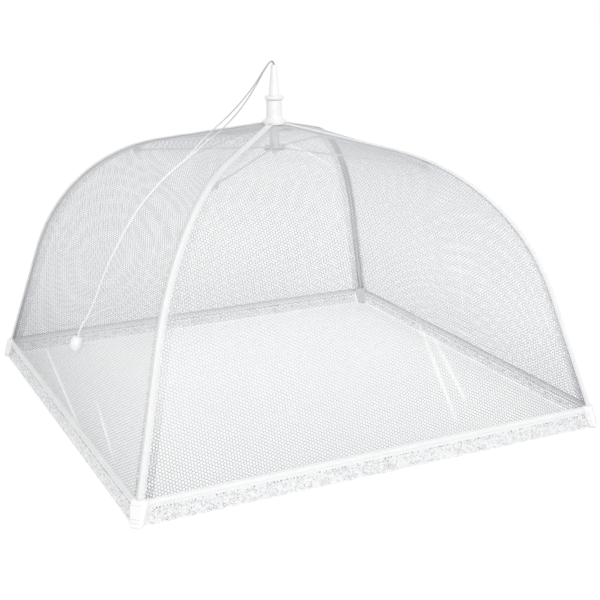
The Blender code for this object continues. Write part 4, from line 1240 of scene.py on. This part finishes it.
def scallop_cord():
    """Corded edge of one repeat, a round section drawn on from point to point of the scallops."""
    steps = SCALLOPS * SCALLOP_STEPS
    points = [Vector((x, scallop_edge(x), 0)) for x in np.linspace(0, LACE_REPEAT, steps + 1)]
    select_none()
    bpy.ops.mesh.primitive_circle_add(vertices=SCALLOP_SIDES, radius=SCALLOP_CORD / 2, fill_type="NOTHING",
                                      location=points[0], rotation=(0, math.pi / 2, 0))
    edit_all()
    for point, following in zip(points, points[1:]):
        draw_out(following - point)
    bpy.ops.mesh.select_all(action="SELECT")
    bpy.ops.mesh.normals_make_consistent(inside=False)
    cord = object_mode()
    put_in_mesh(cord)
    return cord


def lace_cells(middles):
    across, down = middles[:, 0], middles[:, 1]
    return (down > HEADER_HEIGHT - LACE_CELL_EDGE / 2) & (down < scallop_edge(across) - SCALLOP_CORD / 2)


# Machine-made polyester lace: matt white, with the padded parts' close stitches as a grain drawn 0.9 mm
# apart so that it shows. Its ground is thin open threads, darker grey in speckles about 2.5 mm apart and
# near white between them.
lace_finish = mottled("machine_made_lace", ("#E2E3E6", "#FBFBFB"), 0.68, 1100.0, 3.0, relief=(0.5, 0.0002),
                      Sheen_Weight=0.15)
ground_finish = mottled("open_lace_ground", ("#8E9197", "#F2F3F4"), 0.68, 400.0, contrast=(0.40, 0.56),
                        Sheen_Weight=0.1)
lace_first_run = run_at_height(LACE_TOP)
lace_length = run_at_height(LACE_BOTTOM) - lace_first_run
lace_ground = hexagon_sheet("flat_lace", LACE_HALF, lace_length, LACE_CELL_EDGE)
keep_faces(lace_ground, lace_cells)
knit(lace_ground, LACE_THREAD)
motif_parts = sprig(*FLOWER) + sprig(*BUD) + [oval(*leaf) for leaf in LEAVES]
for part in motif_parts:
    part.data.transform(Matrix.Translation((0, HEADER_HEIGHT, 0)))
    part.data.shade_smooth()
motif_parts += [bar((0, start), (LACE_REPEAT, start + HEADER_BAR))
                for start in (0, HEADER_HEIGHT - HEADER_BAR)]
motif_parts.append(scallop_cord())
motif = joined(motif_parts)
finish_with(motif, lace_finish)
rung_pitch = LACE_REPEAT / RUNGS
rungs = joined([bar((rung_pitch * (index + RUNG_SPAN[0]), HEADER_BAR / 2),
                    (rung_pitch * (index + RUNG_SPAN[1]), HEADER_HEIGHT - HEADER_BAR / 2))
                for index in range(RUNGS)])
array(rungs, LACE_REPEATS, (LACE_REPEAT, 0, 0))
lace_ground = joined([lace_ground, rungs])
finish_with(lace_ground, ground_finish)
array(motif, LACE_REPEATS, (LACE_REPEAT, 0, 0))
flat_lace = joined([lace_ground, motif])
flat_lace.data.transform(Matrix.Translation((0, lace_first_run, 0)))
for side, end in net_halves:
    lace = trim_half(flat_lace, f"lace_edging_{half_name(side, end)}", side, end, LACE_LAYER, LACE_INSET, 0)
    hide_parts(f"lace_{side}")
    trims[side, end].append(lace)
bpy.data.objects.remove(flat_lace)

# Corner pockets: short lengths of the same woven tape, folded over the tips of the ribs and sewn shut. The
# cover stands on them.
POCKET_WIDTH = 0.0134
POCKET_DEPTH = 0.0094
POCKET_TOP = 0.0208
POCKET_FOOT_SHARE = 0.76
POCKET_ROUNDING = 0.0030
POCKET_ROUNDING_STEPS = 4
POCKET_CUTS = 3
POCKET_STITCH_ROWS = (0.0042, 0.0072, 0.0172)


def pocket_share(height):
    """A pocket's width and depth at a height, as a share of the full ones."""
    return 1 - (1 - POCKET_FOOT_SHARE) * (1 - height / POCKET_TOP) ** 2


def corner_pocket():
    """Flat bag with soft edges, narrower at its foot, on the line of a rib toward +X."""
    pocket = add_shape(bpy.ops.mesh.primitive_cube_add, (POCKET_DEPTH, POCKET_WIDTH, POCKET_TOP), size=1,
                       location=(0, 0, POCKET_TOP / 2))
    edit_all()
    bpy.ops.mesh.subdivide(number_cuts=POCKET_CUTS)
    object_mode()
    points = read_points(pocket.data)
    points[:, :2] *= pocket_share(points[:, 2])[:, None]
    write_points(pocket.data, points)
    soften(pocket, POCKET_ROUNDING, POCKET_ROUNDING_STEPS)
    return pocket


def lean_with_rib(piece):
    """Shifts each level of a piece outward as the rib's line runs out toward its tip."""
    points = read_points(piece.data)
    points[:, 0] += BASE_SIDE / math.sqrt(2) + (TAPE_LEVEL - points[:, 2]) / math.tan(LAST_SLOPE)
    write_points(piece.data, points)
    piece.data.update()


pocket = corner_pocket()
keep_flat_map(pocket, (1, 2))
lean_with_rib(pocket)
make_active(pocket)
bpy.ops.object.shade_smooth_by_angle(angle=WIRE_SMOOTH_BELOW)
finish_with(pocket, tape_finish)
rows = []
for height in POCKET_STITCH_ROWS:
    share = pocket_share(height)
    length = POCKET_WIDTH * share - POCKET_ROUNDING
    rows.append(stitch_row("pocket_stitches",
                           (POCKET_DEPTH / 2 * share, (STITCH_PITCH - length) / 2, height), "y", length))
stitches = joined(rows)
lean_with_rib(stitches)
finish_with(stitches, thread_finish)
copies_at_corners(pocket, "tape_pocket", "rib", "corner_pocket")
copies_at_corners(stitches, "pocket_stitches", "rib", None)

# Floor and light: a plain white floor, two soft lamps in front and an even white surround. Floor and
# surround look pure white where they are seen, but give off less light than that.
FLOOR_SIZE = 80
FLOOR_GLOW = 0.27
SURROUND_LIGHT = 0.78
# Each lamp's place, power and size, and the height that both point at
LAMPS = (((0.4, -1.6, 1.5), 8, 1.0), ((-0.85, -1.75, 0.75), 8.5, 1.0))
LIT_HEIGHT = 0.1


def seen_itself(tree, unseen, seen):
    """One value where a surface is seen, itself or in a shine, and another where it only gives light."""
    rays = add_node(tree, "ShaderNodeLightPath", {})
    either = rays.outputs["Is Camera Ray"]
    for kind in ("Is Glossy Ray", "Is Transmission Ray"):
        either = add_node(tree, "ShaderNodeMath", {0: either, 1: rays.outputs[kind]},
                          operation="MAXIMUM").outputs[0]
    return add_node(tree, "ShaderNodeMapRange", {"Value": either, "To Min": unseen,
                                                 "To Max": seen}).outputs["Result"]


select_none()
bpy.ops.mesh.primitive_plane_add(size=FLOOR_SIZE, location=(0, 0, 0))
floor = bpy.context.object
floor.name = "floor"
floor_finish, floor_tree, floor_shader = new_material("floor_white", "#F4F4F4", 0.9)
floor_shader.inputs["Emission Color"].default_value = (1, 1, 1, 1)
floor_tree.links.new(seen_itself(floor_tree, 0, FLOOR_GLOW), floor_shader.inputs["Emission Strength"])
finish_with(floor, floor_finish)
for place, power, size in LAMPS:
    bpy.ops.object.light_add(type="AREA", location=place)
    lamp = bpy.context.object
    lamp.data.energy = power
    lamp.data.size = size
    lamp.rotation_euler = (Vector((0, 0, LIT_HEIGHT)) - lamp.location).to_track_quat("-Z", "Y").to_euler()
world = bpy.data.worlds.new("white_surround")
bpy.context.scene.world = world
world.use_nodes = True
surround = world.node_tree.nodes["Background"]
surround.inputs["Color"].default_value = (1, 1, 1, 1)
world.node_tree.links.new(seen_itself(world.node_tree, SURROUND_LIGHT, 1), surround.inputs["Strength"])
bpy.context.scene.view_settings.view_transform = "Standard"
